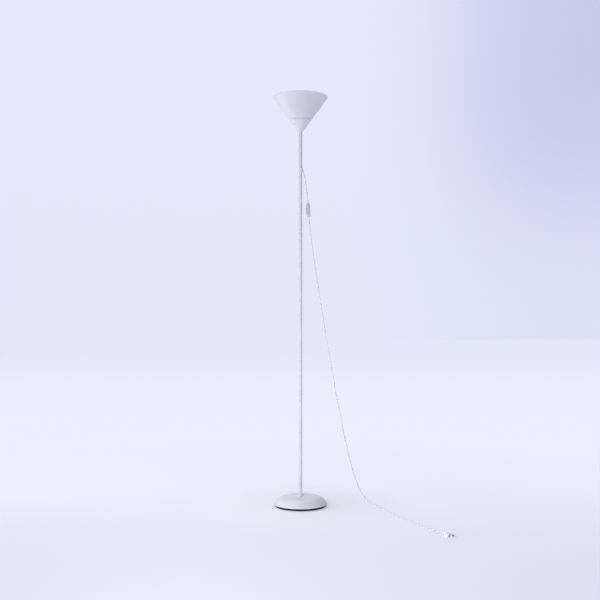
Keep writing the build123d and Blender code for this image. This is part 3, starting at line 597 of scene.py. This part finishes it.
def thread(radius: float, depth: float, pitch: float, low: float, high: float) -> Relief:
    """A rounded screw thread on the wall at a radius.

    The wall sinks by depth times half of 1 - cos(2 pi (z / pitch - a / 2 pi)), which climbs one
    pitch in each turn, and runs out smoothly at both ends.

    Args:
        radius: of the wall that carries the thread.
        depth: from crest to root.
        pitch: rise of one turn.
        low: height where the thread starts.
        high: height where it ends.

    Returns:
        A function of radius, height and turn that gives the new radius.
    """
    def carve(r: Array, z: Array, turn: Array) -> Array:
        """Sink the wall's points and leave all others."""
        on_wall = (np.abs(r - radius) < depth * 0.05) & (z > low) & (z < high)
        fade = np.clip(np.minimum(z - low, high - z) / pitch, 0.0, 1.0)
        wave = 0.5 - 0.5 * np.cos(tau * z / pitch - turn)
        return np.where(on_wall, r - depth * wave * fade, r)

    return carve


def ribs(radius: float, rise: float, count: int, low: float, high: float) -> Relief:
    """Upright grip ribs on the wall at a radius: each is the raised part of a cosine round the axis.

    Args:
        radius: of the wall that carries the ribs.
        rise: how far a rib stands out.
        count: ribs in the whole turn.
        low: height where the ribs start.
        high: height where they end.

    Returns:
        A function of radius, height and turn that gives the new radius.
    """
    def raise_ribs(r: Array, z: Array, turn: Array) -> Array:
        """Raise the wall's points and leave all others."""
        on_wall = (np.abs(r - radius) < 1e-5) & (z > low) & (z < high)
        wave = np.clip(np.cos(turn * count) * 1.6, 0.0, 1.0)
        return np.where(on_wall, r + rise * wave, r)

    return raise_ribs


def revolve(name: str, outline: Array, segments: int, relief: "Relief | None" = None) -> Piece:
    """Turned piece on the Z axis, with an optional relief on its wall.

    A point of the outline (r, z) at turn a becomes (r' cos a, r' sin a, z), where r' is the
    relief's radius.

    Args:
        name: the object's name.
        outline: array (n, 2), a closed outline without its repeated first point.
        segments: columns round the axis.
        relief: function of radius, height and turn.

    Returns:
        The new object, closed, with its faces outwards.
    """
    turn = np.linspace(0.0, tau, segments, endpoint=False)[None, :]
    radius = np.broadcast_to(outline[:, :1], (len(outline), segments))
    height = np.broadcast_to(outline[:, 1:], (len(outline), segments))
    if relief is not None:
        radius = relief(radius, height, turn)
    points = np.stack([radius * np.cos(turn), radius * np.sin(turn), height], axis=2)
    piece = outward(grid_mesh(name, points, closed_v=True))
    smooth_by_angle(piece)
    return piece


def smooth_route(points: Sequence[Point], samples: int = 24) -> Array:
    """The smooth line (n, 3) of a cord: a NURBS spline with the route's points as control points."""
    curve = bpy.data.curves.new("route", "CURVE")
    curve.dimensions = "3D"
    curve.resolution_u = samples
    spline = curve.splines.new("NURBS")
    spline.points.add(len(points) - 1)
    for control, point in zip(spline.points, points):
        control.co = (*point, 1.0)
    spline.order_u = 3
    spline.use_endpoint_u = True
    holder = bpy.data.objects.new("route", curve)
    bpy.context.collection.objects.link(holder)
    mesh = bpy.data.meshes.new_from_object(holder)
    flat = np.empty(len(mesh.vertices) * 3, dtype=np.float32)
    mesh.vertices.foreach_get("co", flat)
    bpy.data.objects.remove(holder)
    bpy.data.curves.remove(curve)
    bpy.data.meshes.remove(mesh)
    return flat.reshape(-1, 3).astype(float)


# ---- sub-assemblies

@dataclass
class Assembly:
    """What every sub-assembly shares: the frame's nodes, the finishes, and handing pieces over."""

    held: dict[str, Piece]
    finishes: dict[str, Coat]
    body: str = "lamp"

    def hand_over(self, piece: Piece, slot: str, node: str) -> None:
        """Let a new piece ride on the body and stand for a CAD node.

        Args:
            piece: the piece, which gets the slot's own finish unless it is dressed already.
            slot: the name of a material slot, a key of the finishes.
            node: the CAD node that it replaces.
        """
        if not piece.data.materials:
            dress(piece, self.finishes[slot])
        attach(piece, self.body)
        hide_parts(node)
        log.info("%s: %d faces, stands for %s", piece.name, len(piece.data.polygons), node)

    def keep(self, finish: str, *nodes: str) -> None:
        """Give CAD nodes whose shape is right their finished material."""
        for node in nodes:
            piece = self.held[node]
            if not piece.data.materials:
                piece.data.materials.append(self.finishes[finish])
            for place in piece.material_slots:
                place.material = self.finishes[finish]
            log.info("%s keeps its shape, in %s", node, finish)


@dataclass
class Base(Assembly):
    """Round weighted base: spun cover, rubber foot ring, collar and what holds them."""

    radius: float = 0.115
    crown: float = 0.044
    sheet: float = 0.0012
    lip: float = 0.0025
    shoulder: float = 0.048
    shoulder_end: float = 67.0
    hem: float = 0.006
    seat_radius: float = 0.024
    bolt_hole: float = 0.0042
    ring_height: float = 0.009
    ring_inset: float = 0.008
    ring_width: float = 0.009
    ring_grip: float = 0.004
    play: float = 0.0002
    collar_radius: float = 0.015
    collar_height: float = 0.007
    collar_flange: float = 0.0022
    pole_radius: float = 0.008

    def centres(self) -> tuple[Flat, Flat, float]:
        """Centres of the lip and shoulder arcs and the crown's radius.

        The shoulder arc is tangent to the lip arc where the normal leans by shoulder_end, and the
        crown arc, centred on the axis, is tangent to the shoulder arc and reaches the crown height.
        """
        lean = radians(self.shoulder_end)
        lip = (self.radius - self.lip, self.ring_height + self.lip)
        reach = self.shoulder - self.lip
        shoulder = (lip[0] - reach * sin(lean), lip[1] - reach * cos(lean))
        drop = self.crown - shoulder[1]
        crown = (self.shoulder**2 - shoulder[0] ** 2 - drop**2) / (2 * (self.shoulder - drop))
        return lip, shoulder, crown

    def seat(self) -> float:
        """Height of the flat that the pole stands on."""
        _, _, crown = self.centres()
        return self.crown - crown + sqrt(crown**2 - self.seat_radius**2)

    def skin(self, inset: float) -> Array:
        """Outline of the cover from its bolt hole to the hem's edge, moved inwards by inset."""
        lip, shoulder, crown = self.centres()
        middle = self.crown - crown
        level = self.seat() - inset
        start = atan2(sqrt((crown - inset) ** 2 - (level - middle) ** 2), level - middle)
        meet = atan2(shoulder[0], shoulder[1] - middle)
        lean = radians(self.shoulder_end)
        degree = 180.0 / pi
        foot = self.ring_height + inset
        first = (crown - inset) * sin(start)
        return joined(
            line((self.bolt_hole, level), (first, level), 6),
            arc((0, middle), crown - inset, 90 - start * degree, 90 - meet * degree, 14),
            arc(shoulder, self.shoulder - inset, 90 - meet * degree, 90 - lean * degree, 34),
            arc(lip, self.lip - inset, 90 - lean * degree, -90, 20),
            line((lip[0], foot), (lip[0] - self.hem, foot), 4),
        )

    def cover(self) -> Piece:
        """Spun steel cover with its rolled lip."""
        return revolve("cover_shell", joined(self.skin(0.0), self.skin(self.sheet)[::-1]), 256)

    def foot_ring(self) -> Piece:
        """Foot ring with a chamfered outer wall, a shallow groove and three treads underneath."""
        outer, edge, groove = self.radius - self.ring_inset, 0.0006, 0.0030
        inner = outer - self.ring_width
        top = self.ring_height
        crest = top + self.ring_grip
        step = self.radius - self.lip - self.hem - self.play
        across = np.linspace(0.0, 1.0, 49)
        tread = 0.0004 * np.clip(np.cos(across * 3 * tau) * -1.4, 0.0, 1.0)
        outline = joined(
            np.stack([inner + edge + (self.ring_width - 2 * edge) * across, tread], axis=1),
            line((outer, edge), (outer, groove), 4),
            arc((outer, groove + edge), edge, -90, -270, 9),
            line((outer, groove + 2 * edge), (outer, top), 5),
            np.array([(step, top), (step, crest - 0.0005), (step - 0.0005, crest), (inner, crest)]),
            line((inner, top), (inner, edge), 4),
        )
        return revolve("foot_tread", outline, 256)

    def collar(self) -> Piece:
        """Collar that sweeps from its flange up to the pole in one cove."""
        seat, width = self.seat(), self.collar_radius
        bore = self.pole_radius + self.play
        neck, edge = bore + 0.0016, 0.0004
        flange, top = seat + self.collar_flange, seat + self.collar_height
        outline = joined(
            line((bore, seat), (width, seat), 4),
            line((width, seat), (width, flange - 3 * edge), 4),
            bezier([(width - edge, flange - 0.0006), (neck + 0.0012, flange + 0.0002),
                    (neck + 0.0001, top - 0.0030), (neck, top - edge)], 24),
            arc((neck - edge, top - edge), edge, 0, 90, 6), np.array([(bore, top)]),
        )
        return revolve("collar_ring", outline, 128)

    def build(self) -> None:
        """Make the base's pieces and dress them."""
        self.hand_over(self.cover(), "white_enamel", "base_cover")
        self.hand_over(self.foot_ring(), "foot_rubber", "base_foot_ring")
        self.hand_over(self.collar(), "white_enamel", "foot_collar")
        self.keep("zinc_steel", "base_bottom_plate", "base_washer", "base_bolt")
        self.keep("base_iron", "base_weight")


@dataclass
class Pole(Assembly):
    """Three lengths of tube on one axis, with their inserts."""

    radius: float = 0.008
    wall: float = 0.0012
    break_edge: float = 0.00025

    def tube(self, name: str, node: str) -> Piece:
        """A length of tube with broken edges, between the heights of its CAD node."""
        low, high = span(node)
        edge, outer, inner = self.break_edge, self.radius, self.radius - self.wall
        outline = joined(
            np.array([(inner, low), (outer - edge, low)]),
            line((outer, low + edge), (outer, high - edge), 40),
            np.array([(outer - edge, high)]),
            line((inner, high), (inner, low + edge), 12),
        )
        return revolve(name, outline, 64)

    def build(self) -> None:
        """Make the pole's pieces and dress them."""
        for name in ("lower", "middle"):
            self.hand_over(self.tube(f"tube_{name}", f"pole_{name}"), "white_enamel", f"pole_{name}")
        self.keep("white_enamel", "pole_upper")
        self.keep("zinc_steel", "pole_foot_insert", "pole_top_insert", "lower_joint_stud",
                  "lower_joint_insert", "upper_joint_stud", "upper_joint_insert")


@dataclass
class Head(Assembly):
    """Cup and shade, one cone in two parts with a seam between them."""

    foot_radius: float = 0.0095
    rim_radius: float = 0.119
    height: float = 0.150
    seam: float = 0.0505
    seam_gap: float = 0.0004
    sheet: float = 0.001
    bead: float = 0.0013
    cup_floor: float = 0.0014
    cup_hole: float = 0.0052
    shade_hole: float = 0.0197
    fold: float = 0.0006

    def slope(self) -> float:
        """Radius gained for each metre of height."""
        return (self.rim_radius - self.foot_radius) / self.height

    def across(self) -> float:
        """The sheet's thickness measured along a radius."""
        return self.sheet * sqrt(1 + self.slope() ** 2)

    def wall(self, height: float) -> float:
        """Outside radius at a height above the cup's foot."""
        return self.foot_radius + self.slope() * height

    def cup(self) -> Piece:
        """Lower cone with a floor for the nipple and a folded edge at the seam."""
        z, t, f = span("socket_cup")[0], self.across(), self.fold
        floor, fold = self.cup_floor, self.seam - f
        outline = joined(
            np.array([(self.cup_hole, z), (self.foot_radius - f, z), (self.foot_radius, z + f)]),
            line((self.wall(f), z + f), (self.wall(fold), z + fold), 24),
            arc((self.wall(fold) - t / 2, z + fold), t / 2, 0, 180, 8),
            line((self.wall(fold) - t, z + fold), (self.wall(floor) - t, z + floor), 16),
            np.array([(self.cup_hole, z + floor)]),
        )
        return revolve("cup_cone", outline, 192)

    def shade(self) -> Piece:
        """Upper cone with a clamped floor, a folded foot and a rolled bead at its rim."""
        z, t, f = span("socket_cup")[0], self.across(), self.fold
        low = self.seam + self.seam_gap
        inner, edge = low + self.sheet, self.height - 0.0018
        middle = self.rim_radius - t / 2
        lean = np.degrees(atan2(1.0, self.slope()))
        outline = joined(
            line((self.shade_hole, z + low), (self.wall(low) - 2 * f, z + low), 4),
            arc((self.wall(low + f) - f, z + low + f), f, -70, lean - 90, 6),
            line((self.wall(low + 2 * f), z + low + 2 * f), (self.wall(edge), z + edge), 40),
            arc((middle, z + self.height), self.bead, lean - 62, lean + 214, 26),
            line((self.wall(edge) - t, z + edge), (self.wall(inner + f) - t, z + inner + f), 40),
            line((self.wall(inner) - t - f, z + inner), (self.shade_hole, z + inner), 4),
        )
        return revolve("shade_cone", outline, 256)

    def line_inside(self, shell: Piece) -> None:
        """Give faces of a turned shell that look at the axis, or up from its floor, the inside finish."""
        mesh = shell.data
        normal = np.empty(len(mesh.polygons) * 3, dtype=np.float32)
        centre = np.empty_like(normal)
        mesh.polygons.foreach_get("normal", normal)
        mesh.polygons.foreach_get("center", centre)
        normal, centre = normal.reshape(-1, 3), centre.reshape(-1, 3)
        radial = (normal[:, :2] * centre[:, :2]).sum(axis=1) / np.linalg.norm(centre[:, :2], axis=1)
        dress(shell, self.finishes["white_enamel"], self.finishes["shade_inside"])
        inside = (normal[:, 2] > 0.3) & (radial < 0.3)
        mesh.polygons.foreach_set("material_index", inside.astype(np.int32))

    def build(self) -> None:
        """Make the head's pieces and dress them."""
        self.hand_over(self.cup(), "white_enamel", "socket_cup")
        shade = self.shade()
        self.line_inside(shade)
        self.hand_over(shade, "white_enamel", "shade")
        self.keep("brass", "top_nipple")
        self.keep("zinc_steel", "cup_washer", "cup_nut")


@dataclass
class Holder(Assembly):
    """E27 lamp holder: domed foot, threaded sleeve, ribbed ring and what is inside."""

    radius: float = 0.0195
    wall: float = 0.002
    flange_width: float = 0.0045
    flange: float = 0.0025
    ring_width: float = 0.0085
    ring_flange: float = 0.003
    ring_step: float = 0.005
    ring_ribs: int = 24
    rib_rise: float = 0.0012
    thread_depth: float = 0.0007
    thread_pitch: float = 0.0025
    clear: float = 0.00005

    def sleeve(self) -> Piece:
        """Sleeve with the shade's flange, threaded above it for the ring."""
        low, high = span("holder_sleeve")
        seat, edge, runout = span("shade")[0], 0.0005, 0.001
        outer, inner = self.radius, self.radius - self.wall
        flange, foot = outer + self.flange_width, seat - self.flange
        outline = joined(
            np.array([(inner, low), (outer, low), (outer, foot), (flange, foot), (flange, seat),
                      (outer, seat)]),
            line((outer, seat + edge), (outer, high - edge), 140),
            arc((outer - edge, high - edge), edge, 0, 90, 6),
            arc((inner + edge, high - edge), edge, 90, 180, 6),
        )
        cut = thread(outer, self.thread_depth, self.thread_pitch, seat + runout, high - runout)
        return revolve("sleeve_threaded", outline, 96, cut)

    def ring(self) -> Piece:
        """Ring nut with grip ribs round its collar."""
        low, high = span("shade_ring")
        bore, flange, edge = self.radius + self.clear, self.radius + self.ring_width, 0.0005
        step, top = flange - self.ring_step, low + self.ring_flange
        outline = joined(
            np.array([(bore, low), (flange - edge, low)]),
            line((flange, low + edge), (flange, top - edge), 3),
            np.array([(flange - edge, top), (step + 0.0015, top)]),
            line((step, top + 0.0002), (step, high - edge), 20),
            np.array([(step - 2 * edge, high), (bore, high)]),
        )
        grip = ribs(step, self.rib_rise, self.ring_ribs, top + 0.0001, high - 0.0012)
        return revolve("ring_ribbed", outline, self.ring_ribs * 12, grip)

    def build(self) -> None:
        """Make the holder's pieces and dress them."""
        self.hand_over(self.sleeve(), "holder_plastic", "holder_sleeve")
        self.hand_over(self.ring(), "holder_plastic", "shade_ring")
        self.keep("holder_plastic", "holder_base")
        self.keep("holder_ceramic", "holder_core")
        self.keep("brass", "holder_screw_shell", "holder_contact", "holder_terminals")


@dataclass
class Bulb(Assembly):
    """Screw-in bulb: threaded cap, flared housing and opal globe."""

    body: str = "bulb"
    cap_radius: float = 0.0132
    cap_thread: float = 0.0012
    cap_pitch: float = 0.00362
    cap_sheet: float = 0.0005
    neck: float = 0.0142
    rim: float = 0.027
    globe: float = 0.030
    globe_inset: float = 0.003
    globe_sheet: float = 0.0012
    housing_wall: float = 0.0016

    def cap(self) -> Piece:
        """Cap with a rounded screw thread that climbs its wall."""
        low, high = span("bulb_cap")
        outer, deep, hole, floor = self.cap_radius, self.cap_thread, 0.0003, 0.001
        root = outer - deep
        inner = root - self.cap_sheet
        outline = joined(
            np.array([(hole, low), (outer - 2 * deep, low), (outer - 1.4 * deep, low + 0.0005)]),
            line((outer, low + 0.0014), (outer, high - 0.0010), 120),
            np.array([(root, high - 0.0004), (root, high), (inner, high)]),
            line((inner, high - floor), (inner, low + floor), 8),
            np.array([(hole, low + floor)]),
        )
        return revolve("cap_threaded", outline, 96, thread(outer, deep, self.cap_pitch, low + floor, high))

    def side(self, inset: float) -> Array:
        """Housing's flared side from its rim down to its neck, moved inwards by inset."""
        low, high = span("bulb_housing")
        half = (high - low) / 2
        return bezier([(self.rim - inset, high), (self.rim - inset - 0.005, high - half),
                       (self.neck - inset + 0.0015, low + half - 0.001), (self.neck - inset, low)], 36)

    def housing(self) -> Piece:
        """Flared housing, a shell that is open at both ends."""
        return revolve("housing_flared", joined(self.side(0.0), self.side(self.housing_wall)[::-1]), 128)

    def skin(self, inset: float) -> Array:
        """Globe's outline from its rim to its top, moved inwards by inset."""
        low, high = span("bulb_diffuser")
        widest = self.globe - inset + self.globe_inset
        top = high - inset
        return bezier([(self.rim - inset, low), (widest, low + self.globe / 2), (widest, top - 0.002),
                       (0.55 * widest, top), (0.0001, top)], 60)

    def diffuser(self) -> Piece:
        """Opal globe, a thin shell."""
        return revolve("globe_opal", joined(self.skin(0.0), self.skin(self.globe_sheet)[::-1]), 128)

    def build(self) -> None:
        """Make the bulb's pieces and dress them."""
        cap = self.cap()
        dress(cap, self.finishes["pin_nickel"])
        self.hand_over(cap, "bulb_metal", "bulb_cap")
        self.hand_over(self.housing(), "bulb_plastic", "bulb_housing")
        self.hand_over(self.diffuser(), "bulb_opal", "bulb_diffuser")
        self.keep("pin_nickel", "bulb_led_board")
        self.keep("bulb_insulation", "bulb_insulator")
        self.keep("brass", "bulb_contact")


@dataclass
class Lead(Assembly):
    """Mains lead in two runs, with a rocker switch between them and a flat plug at the end."""

    diameter: float = 0.005
    start: Point = (0.0021, -0.00772, 1.475)
    switch_foot: Point = (0.0354, -0.0201, 1.268)
    upper_length: float = 0.174
    lower_length: float = 1.860
    relief_length: float = 0.022
    relief_root: float = 0.0046
    relief_tip: float = 0.0034
    relief_sides: int = 48
    flange_radius: float = 0.0063
    flange_depth: float = 0.0096
    bush_radius: float = 0.005
    upper: tuple[Point, ...] = (
        (0.0021, -0.00772, 1.475), (0.0148, -0.0256, 1.4512), (0.0216, -0.0302, 1.4070),
        (0.0268, -0.0269, 1.3705), (0.0306, -0.0219, 1.3399), (0.0321, -0.02086, 1.3100),
    )
    lower: tuple[Point, ...] = (
        (0.0354, -0.0201, 1.2680), (0.0377, -0.0196, 1.2381), (0.0428, -0.0176, 1.1900),
        (0.0518, -0.0150, 1.1220), (0.0612, -0.0136, 1.0520), (0.0732, -0.0120, 0.9840),
        (0.0832, -0.0098, 0.9120), (0.0954, -0.0079, 0.8420), (0.1052, -0.0051, 0.7710),
        (0.1174, -0.0030, 0.7000), (0.1308, -0.0004, 0.6300), (0.1426, 0.0026, 0.5610),
        (0.1540, 0.0049, 0.4900), (0.1696, 0.0078, 0.4200), (0.1822, 0.0112, 0.3500),
        (0.1968, 0.0142, 0.2810), (0.2122, 0.0175, 0.2130), (0.2280, 0.0203, 0.1540),
        (0.2460, 0.0236, 0.0980), (0.2665, 0.0260, 0.0530), (0.2910, 0.0230, 0.0200),
        (0.3180, 0.0040, 0.0046), (0.3380, -0.0280, 0.0025), (0.3545, -0.0720, 0.0025),
        (0.3715, -0.1200, 0.0025), (0.3865, -0.1700, 0.0025), (0.4035, -0.2220, 0.0025),
        (0.4235, -0.2760, 0.0025), (0.4460, -0.3310, 0.0025), (0.4715, -0.3850, 0.0025),
        (0.4970, -0.4340, 0.0036), (0.5165, -0.4685, 0.00705), (0.5320, -0.4970, 0.00705),
    )

    def run(self, name: str, node: str, route: Sequence[Point]) -> tuple[Piece, Array]:
        """One run of the lead as a tube along its smooth line.

        Args:
            name: the new piece's name.
            node: the CAD node that it replaces.
            route: the control points of its line.

        Returns:
            The tube and the points of its centreline.
        """
        path = smooth_route(route)
        tube = tube_along(name, path, self.diameter / 2, 24)
        length = float(np.linalg.norm(np.diff(path, axis=0), axis=1).sum())
        log.info("%s is %.3f m long", name, length)
        dress(tube, Sheath(metres=length).material())
        self.hand_over(tube, "cord_pvc", node)
        return tube, path

    def relief(self, path: Array) -> Piece:
        """Bush in the pole's wall with a grooved, tapered sleeve that bends with the cord.

        Each row is a ring: centre + radius (cos a e1 + sin a e2). The flange's rings stand on the
        tube, so their depth along its normal is the root of tube radius squared less the square of
        the ring's level reach. A Bezier blends the flange's top ring into the sleeve's first one.

        Args:
            path: the cord's centreline.

        Returns:
            The closed piece.
        """
        run = np.concatenate([[0.0], np.cumsum(np.linalg.norm(np.diff(path, axis=0), axis=1))])
        turn = np.linspace(0.0, tau, self.relief_sides, endpoint=False)
        cosine, sine = np.cos(turn)[None, :, None], np.sin(turn)[None, :, None]
        up = np.array([0.0, 0.0, 1.0])
        outwards = np.array([self.start[0], self.start[1], 0.0]) / np.hypot(self.start[0], self.start[1])
        level = np.cross(outwards, up)

        def standing(radius: float, depth: float = 0.0, tube: float = 0.008) -> Array:
            """A ring round the tube's normal, at a depth or else on a tube."""
            deep = depth or np.sqrt(tube**2 - (radius * cosine[0]) ** 2)
            ring = radius * (cosine[0] * level + sine[0] * up) + deep * outwards
            return (ring + (0.0, 0.0, self.start[2]))[None]

        def along(stops: Array, radius: Array) -> Array:
            """Rings round the cord at distances from its exit."""
            centre = np.stack([np.interp(stops, run, path[:, k]) for k in range(3)], axis=1)
            ahead = np.stack([np.interp(stops + 0.001, run, path[:, k]) for k in range(3)], axis=1) - centre
            ahead /= np.linalg.norm(ahead, axis=1, keepdims=True)
            e1 = np.cross(ahead, up)
            e1 /= np.linalg.norm(e1, axis=1, keepdims=True)
            e2 = np.cross(e1, ahead)
            return centre[:, None] + radius[:, None, None] * (cosine * e1[:, None] + sine * e2[:, None])

        tip, root, skirt, pitch = self.relief_length, 0.008, 0.0008, 0.003
        stops = np.linspace(root, tip - 0.0004, 72)
        groove = np.clip(np.cos((stops - root) * tau / pitch + pi) * 2.0 - 0.4, 0.0, 1.0)
        groove *= (stops > root + 0.001) & (stops < tip - 0.0025)
        taper = self.relief_root + (self.relief_tip - self.relief_root) * stops / tip
        sleeve = along(stops, taper - 0.00045 * groove)
        edge = along(np.array([tip - 0.0001, tip]), self.relief_tip - np.array([0.0001, 0.0004]))
        bore = along(np.linspace(tip, 0.0, 30), np.full(30, self.diameter / 2 + 0.00005))
        top = standing(self.flange_radius - skirt, self.flange_depth)
        back = sleeve[:1] - sleeve[1:2]
        corner = sleeve[:1] + 0.0035 * back / np.linalg.norm(back, axis=2, keepdims=True)
        w = np.linspace(0.0, 1.0, 12)[1:-1, None, None]
        blend = (1 - w) ** 2 * top + 2 * w * (1 - w) * corner + w**2 * sleeve[:1]
        points = np.concatenate([
            standing(self.flange_radius), standing(self.flange_radius, self.flange_depth - skirt), top,
            blend, sleeve, edge, bore, standing(self.bush_radius, tube=0.0060), standing(self.bush_radius),
        ])
        piece = outward(grid_mesh("relief_sleeve", points, closed_v=True))
        smooth_by_angle(piece, 40.0)
        return piece

    def build(self) -> None:
        """Make the lead and dress the switch and the plug."""
        upper, upper_path = self.run("lead_upper", "cord_upper", self.upper)
        lower, lower_path = self.run("lead_lower", "cord_lower", self.lower)
        self.hand_over(self.relief(upper_path), "grommet_rubber", "cord_grommet")
        self.keep("switch_plastic", "switch_front_shell", "switch_back_shell")
        self.keep("rocker_plastic", "switch_rocker")
        self.keep("brass", "switch_contacts")
        self.keep("zinc_steel", "switch_screws")
        self.keep("plug_plastic", "plug_body", "plug_relief")
        self.keep("pin_nickel", "plug_pins")
        self.keep("pin_sleeve", "plug_pin_sleeves")
        self.keep("inner_sheath", "cord_inner", "lead_wires")


@dataclass
class Studio:
    """Camera, soft lights and a plain pale floor; none of it is part of the lamp."""

    lens: float = 52.2
    distance: float = 3.8
    eye: float = 0.818
    aside: float = -0.002
    rise: float = 0.0309
    floor_size: float = 60.0
    horizon: Colour = (0.765, 0.81, 0.96)
    sky: Colour = (0.78, 0.82, 0.98)
    shaded: Colour = (0.565, 0.60, 0.82)
    room: Colour = (0.41, 0.42, 0.50)

    def camera(self) -> None:
        """Level camera in front of the lamp, with a small shift for the framing."""
        data = bpy.data.cameras.new("front_camera")
        data.sensor_width = 36.0
        data.lens = self.lens
        data.shift_y = self.rise
        data.clip_end = 200.0
        made = bpy.data.objects.new("front_camera", data)
        made.location = (self.aside, -self.distance, self.eye)
        made.rotation_euler = (pi / 2, 0.0, 0.0)
        bpy.context.collection.objects.link(made)
        bpy.context.scene.camera = made

    def floor(self) -> None:
        """Flat floor made of one grid."""
        half = self.floor_size / 2
        side = np.linspace(-half, half, 41)
        x, y = np.meshgrid(side, side)
        made = grid_mesh("studio_floor", np.stack([x, y, np.zeros_like(x)], axis=2), closed_u=False)
        dress(made, Backdrop(air=self.horizon).material())

    def world(self) -> None:
        """Pale backdrop behind the lamp, a little darker high on the right, in a dimmer room."""
        air = bpy.data.worlds.new("studio_air")
        g = Graph(air, "ShaderNodeOutputWorld", "ShaderNodeBackground")
        way = g.node("ShaderNodeTexCoord", {}, {}, "Generated")
        aside, ahead, up = (g.axis(way, name) for name in "XYZ")
        paper = g.mix(up.ramp(0.0, 0.26), self.horizon, self.sky)
        paper = g.mix(aside.ramp(0.05, 0.30) * up.ramp(0.0, 0.26, 0.25, 1.0), paper, self.shaded)
        bpy.context.scene.world = g.set(Color=g.mix(ahead.ramp(0.60, 0.90), self.room, paper))

    @staticmethod
    def lamp(name: str, place: Point, aim: Point, size: float, watts: float) -> None:
        """Square soft light that stands at a place and points at another; its side is in metres."""
        data = bpy.data.lights.new(name, "AREA")
        data.shape, data.size, data.energy = "SQUARE", size, watts
        made = bpy.data.objects.new(name, data)
        made.location = place
        way = np.subtract(aim, place)
        made.rotation_euler = (atan2(sqrt(way[0] ** 2 + way[1] ** 2), -way[2]), 0.0, atan2(-way[0], way[1]))
        bpy.context.collection.objects.link(made)

    def build(self) -> None:
        """Set the whole studio."""
        self.camera()
        self.floor()
        self.world()
        self.lamp("high_left", (-3.0, -1.8, 2.6), (0, 0, 0.9), 1.8, 8.0)
        self.lamp("low_left", (-2.3, -1.6, 0.8), (0, 0, 0.3), 1.2, 15.0)
        self.lamp("edge_left", (-2.2, 0.8, 0.95), (0, 0, 0.4), 1.6, 14.0)
        self.lamp("top_light", (-0.6, 0.2, 4.2), (0, 0, 0), 2.4, 29.0)
        self.lamp("low_front", (-0.45, -1.9, 0.5), (0, 0, 0), 0.7, 17.0)
        self.lamp("back_top", (0.0, 2.5, 3.5), (0, 0, 0.3), 2.0, 34.0)
        bpy.context.scene.view_settings.view_transform = "Standard"


def main() -> None:
    """Build the studio first, then the lamp from the floor up."""
    logging.basicConfig(level=logging.INFO, format="%(name)s: %(message)s")
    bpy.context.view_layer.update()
    Studio().build()
    recipes = (
        Enamel("white_enamel"), Reflector("shade_inside"), Rubber("foot_rubber"), CastIron("base_iron"),
        Opal("bulb_opal"),
        Plated("zinc_steel", (0.62, 0.63, 0.66), (0.42, 0.41, 0.38), 0.30),
        Plated("brass", (0.76, 0.58, 0.30), (0.40, 0.28, 0.14), 0.26),
        Plated("pin_nickel", (0.72, 0.70, 0.66), (0.46, 0.44, 0.40), 0.20),
        Moulding("inner_sheath", (0.62, 0.62, 0.64), (0.52, 0.52, 0.55)),
        Moulding("holder_plastic", (0.74, 0.74, 0.73), (0.66, 0.66, 0.66)),
        Moulding("holder_ceramic", (0.80, 0.77, 0.70), (0.68, 0.64, 0.56), Sheen.POLISHED),
        Moulding("switch_plastic", (0.50, 0.51, 0.54), (0.45, 0.46, 0.49), Sheen.SPARKED),
        # Painted shade: the rocker is a darker copy of the switch housing's grey, standing for the shade on
        # its side.
        Moulding("rocker_plastic", (0.26, 0.265, 0.28), (0.21, 0.215, 0.23)),
        Moulding("plug_plastic", (0.76, 0.77, 0.80), (0.68, 0.69, 0.72), Sheen.SPARKED),
        Moulding("pin_sleeve", (0.05, 0.05, 0.055), (0.08, 0.08, 0.085)),
        Moulding("grommet_rubber", (0.60, 0.61, 0.65), (0.50, 0.51, 0.55), Sheen.SPARKED),
        Moulding("bulb_insulation", (0.02, 0.02, 0.022), (0.05, 0.05, 0.05), Sheen.POLISHED),
        Moulding("bulb_plastic", (0.78, 0.78, 0.77), (0.70, 0.70, 0.69), scatter=0.1),
    )
    finishes = {recipe.name: recipe.material() for recipe in recipes}
    for assembly in (Lead, Base, Pole, Head, Holder, Bulb):
        assembly(frame["nodes"], finishes).build()


if __name__ == "__main__":
    main()
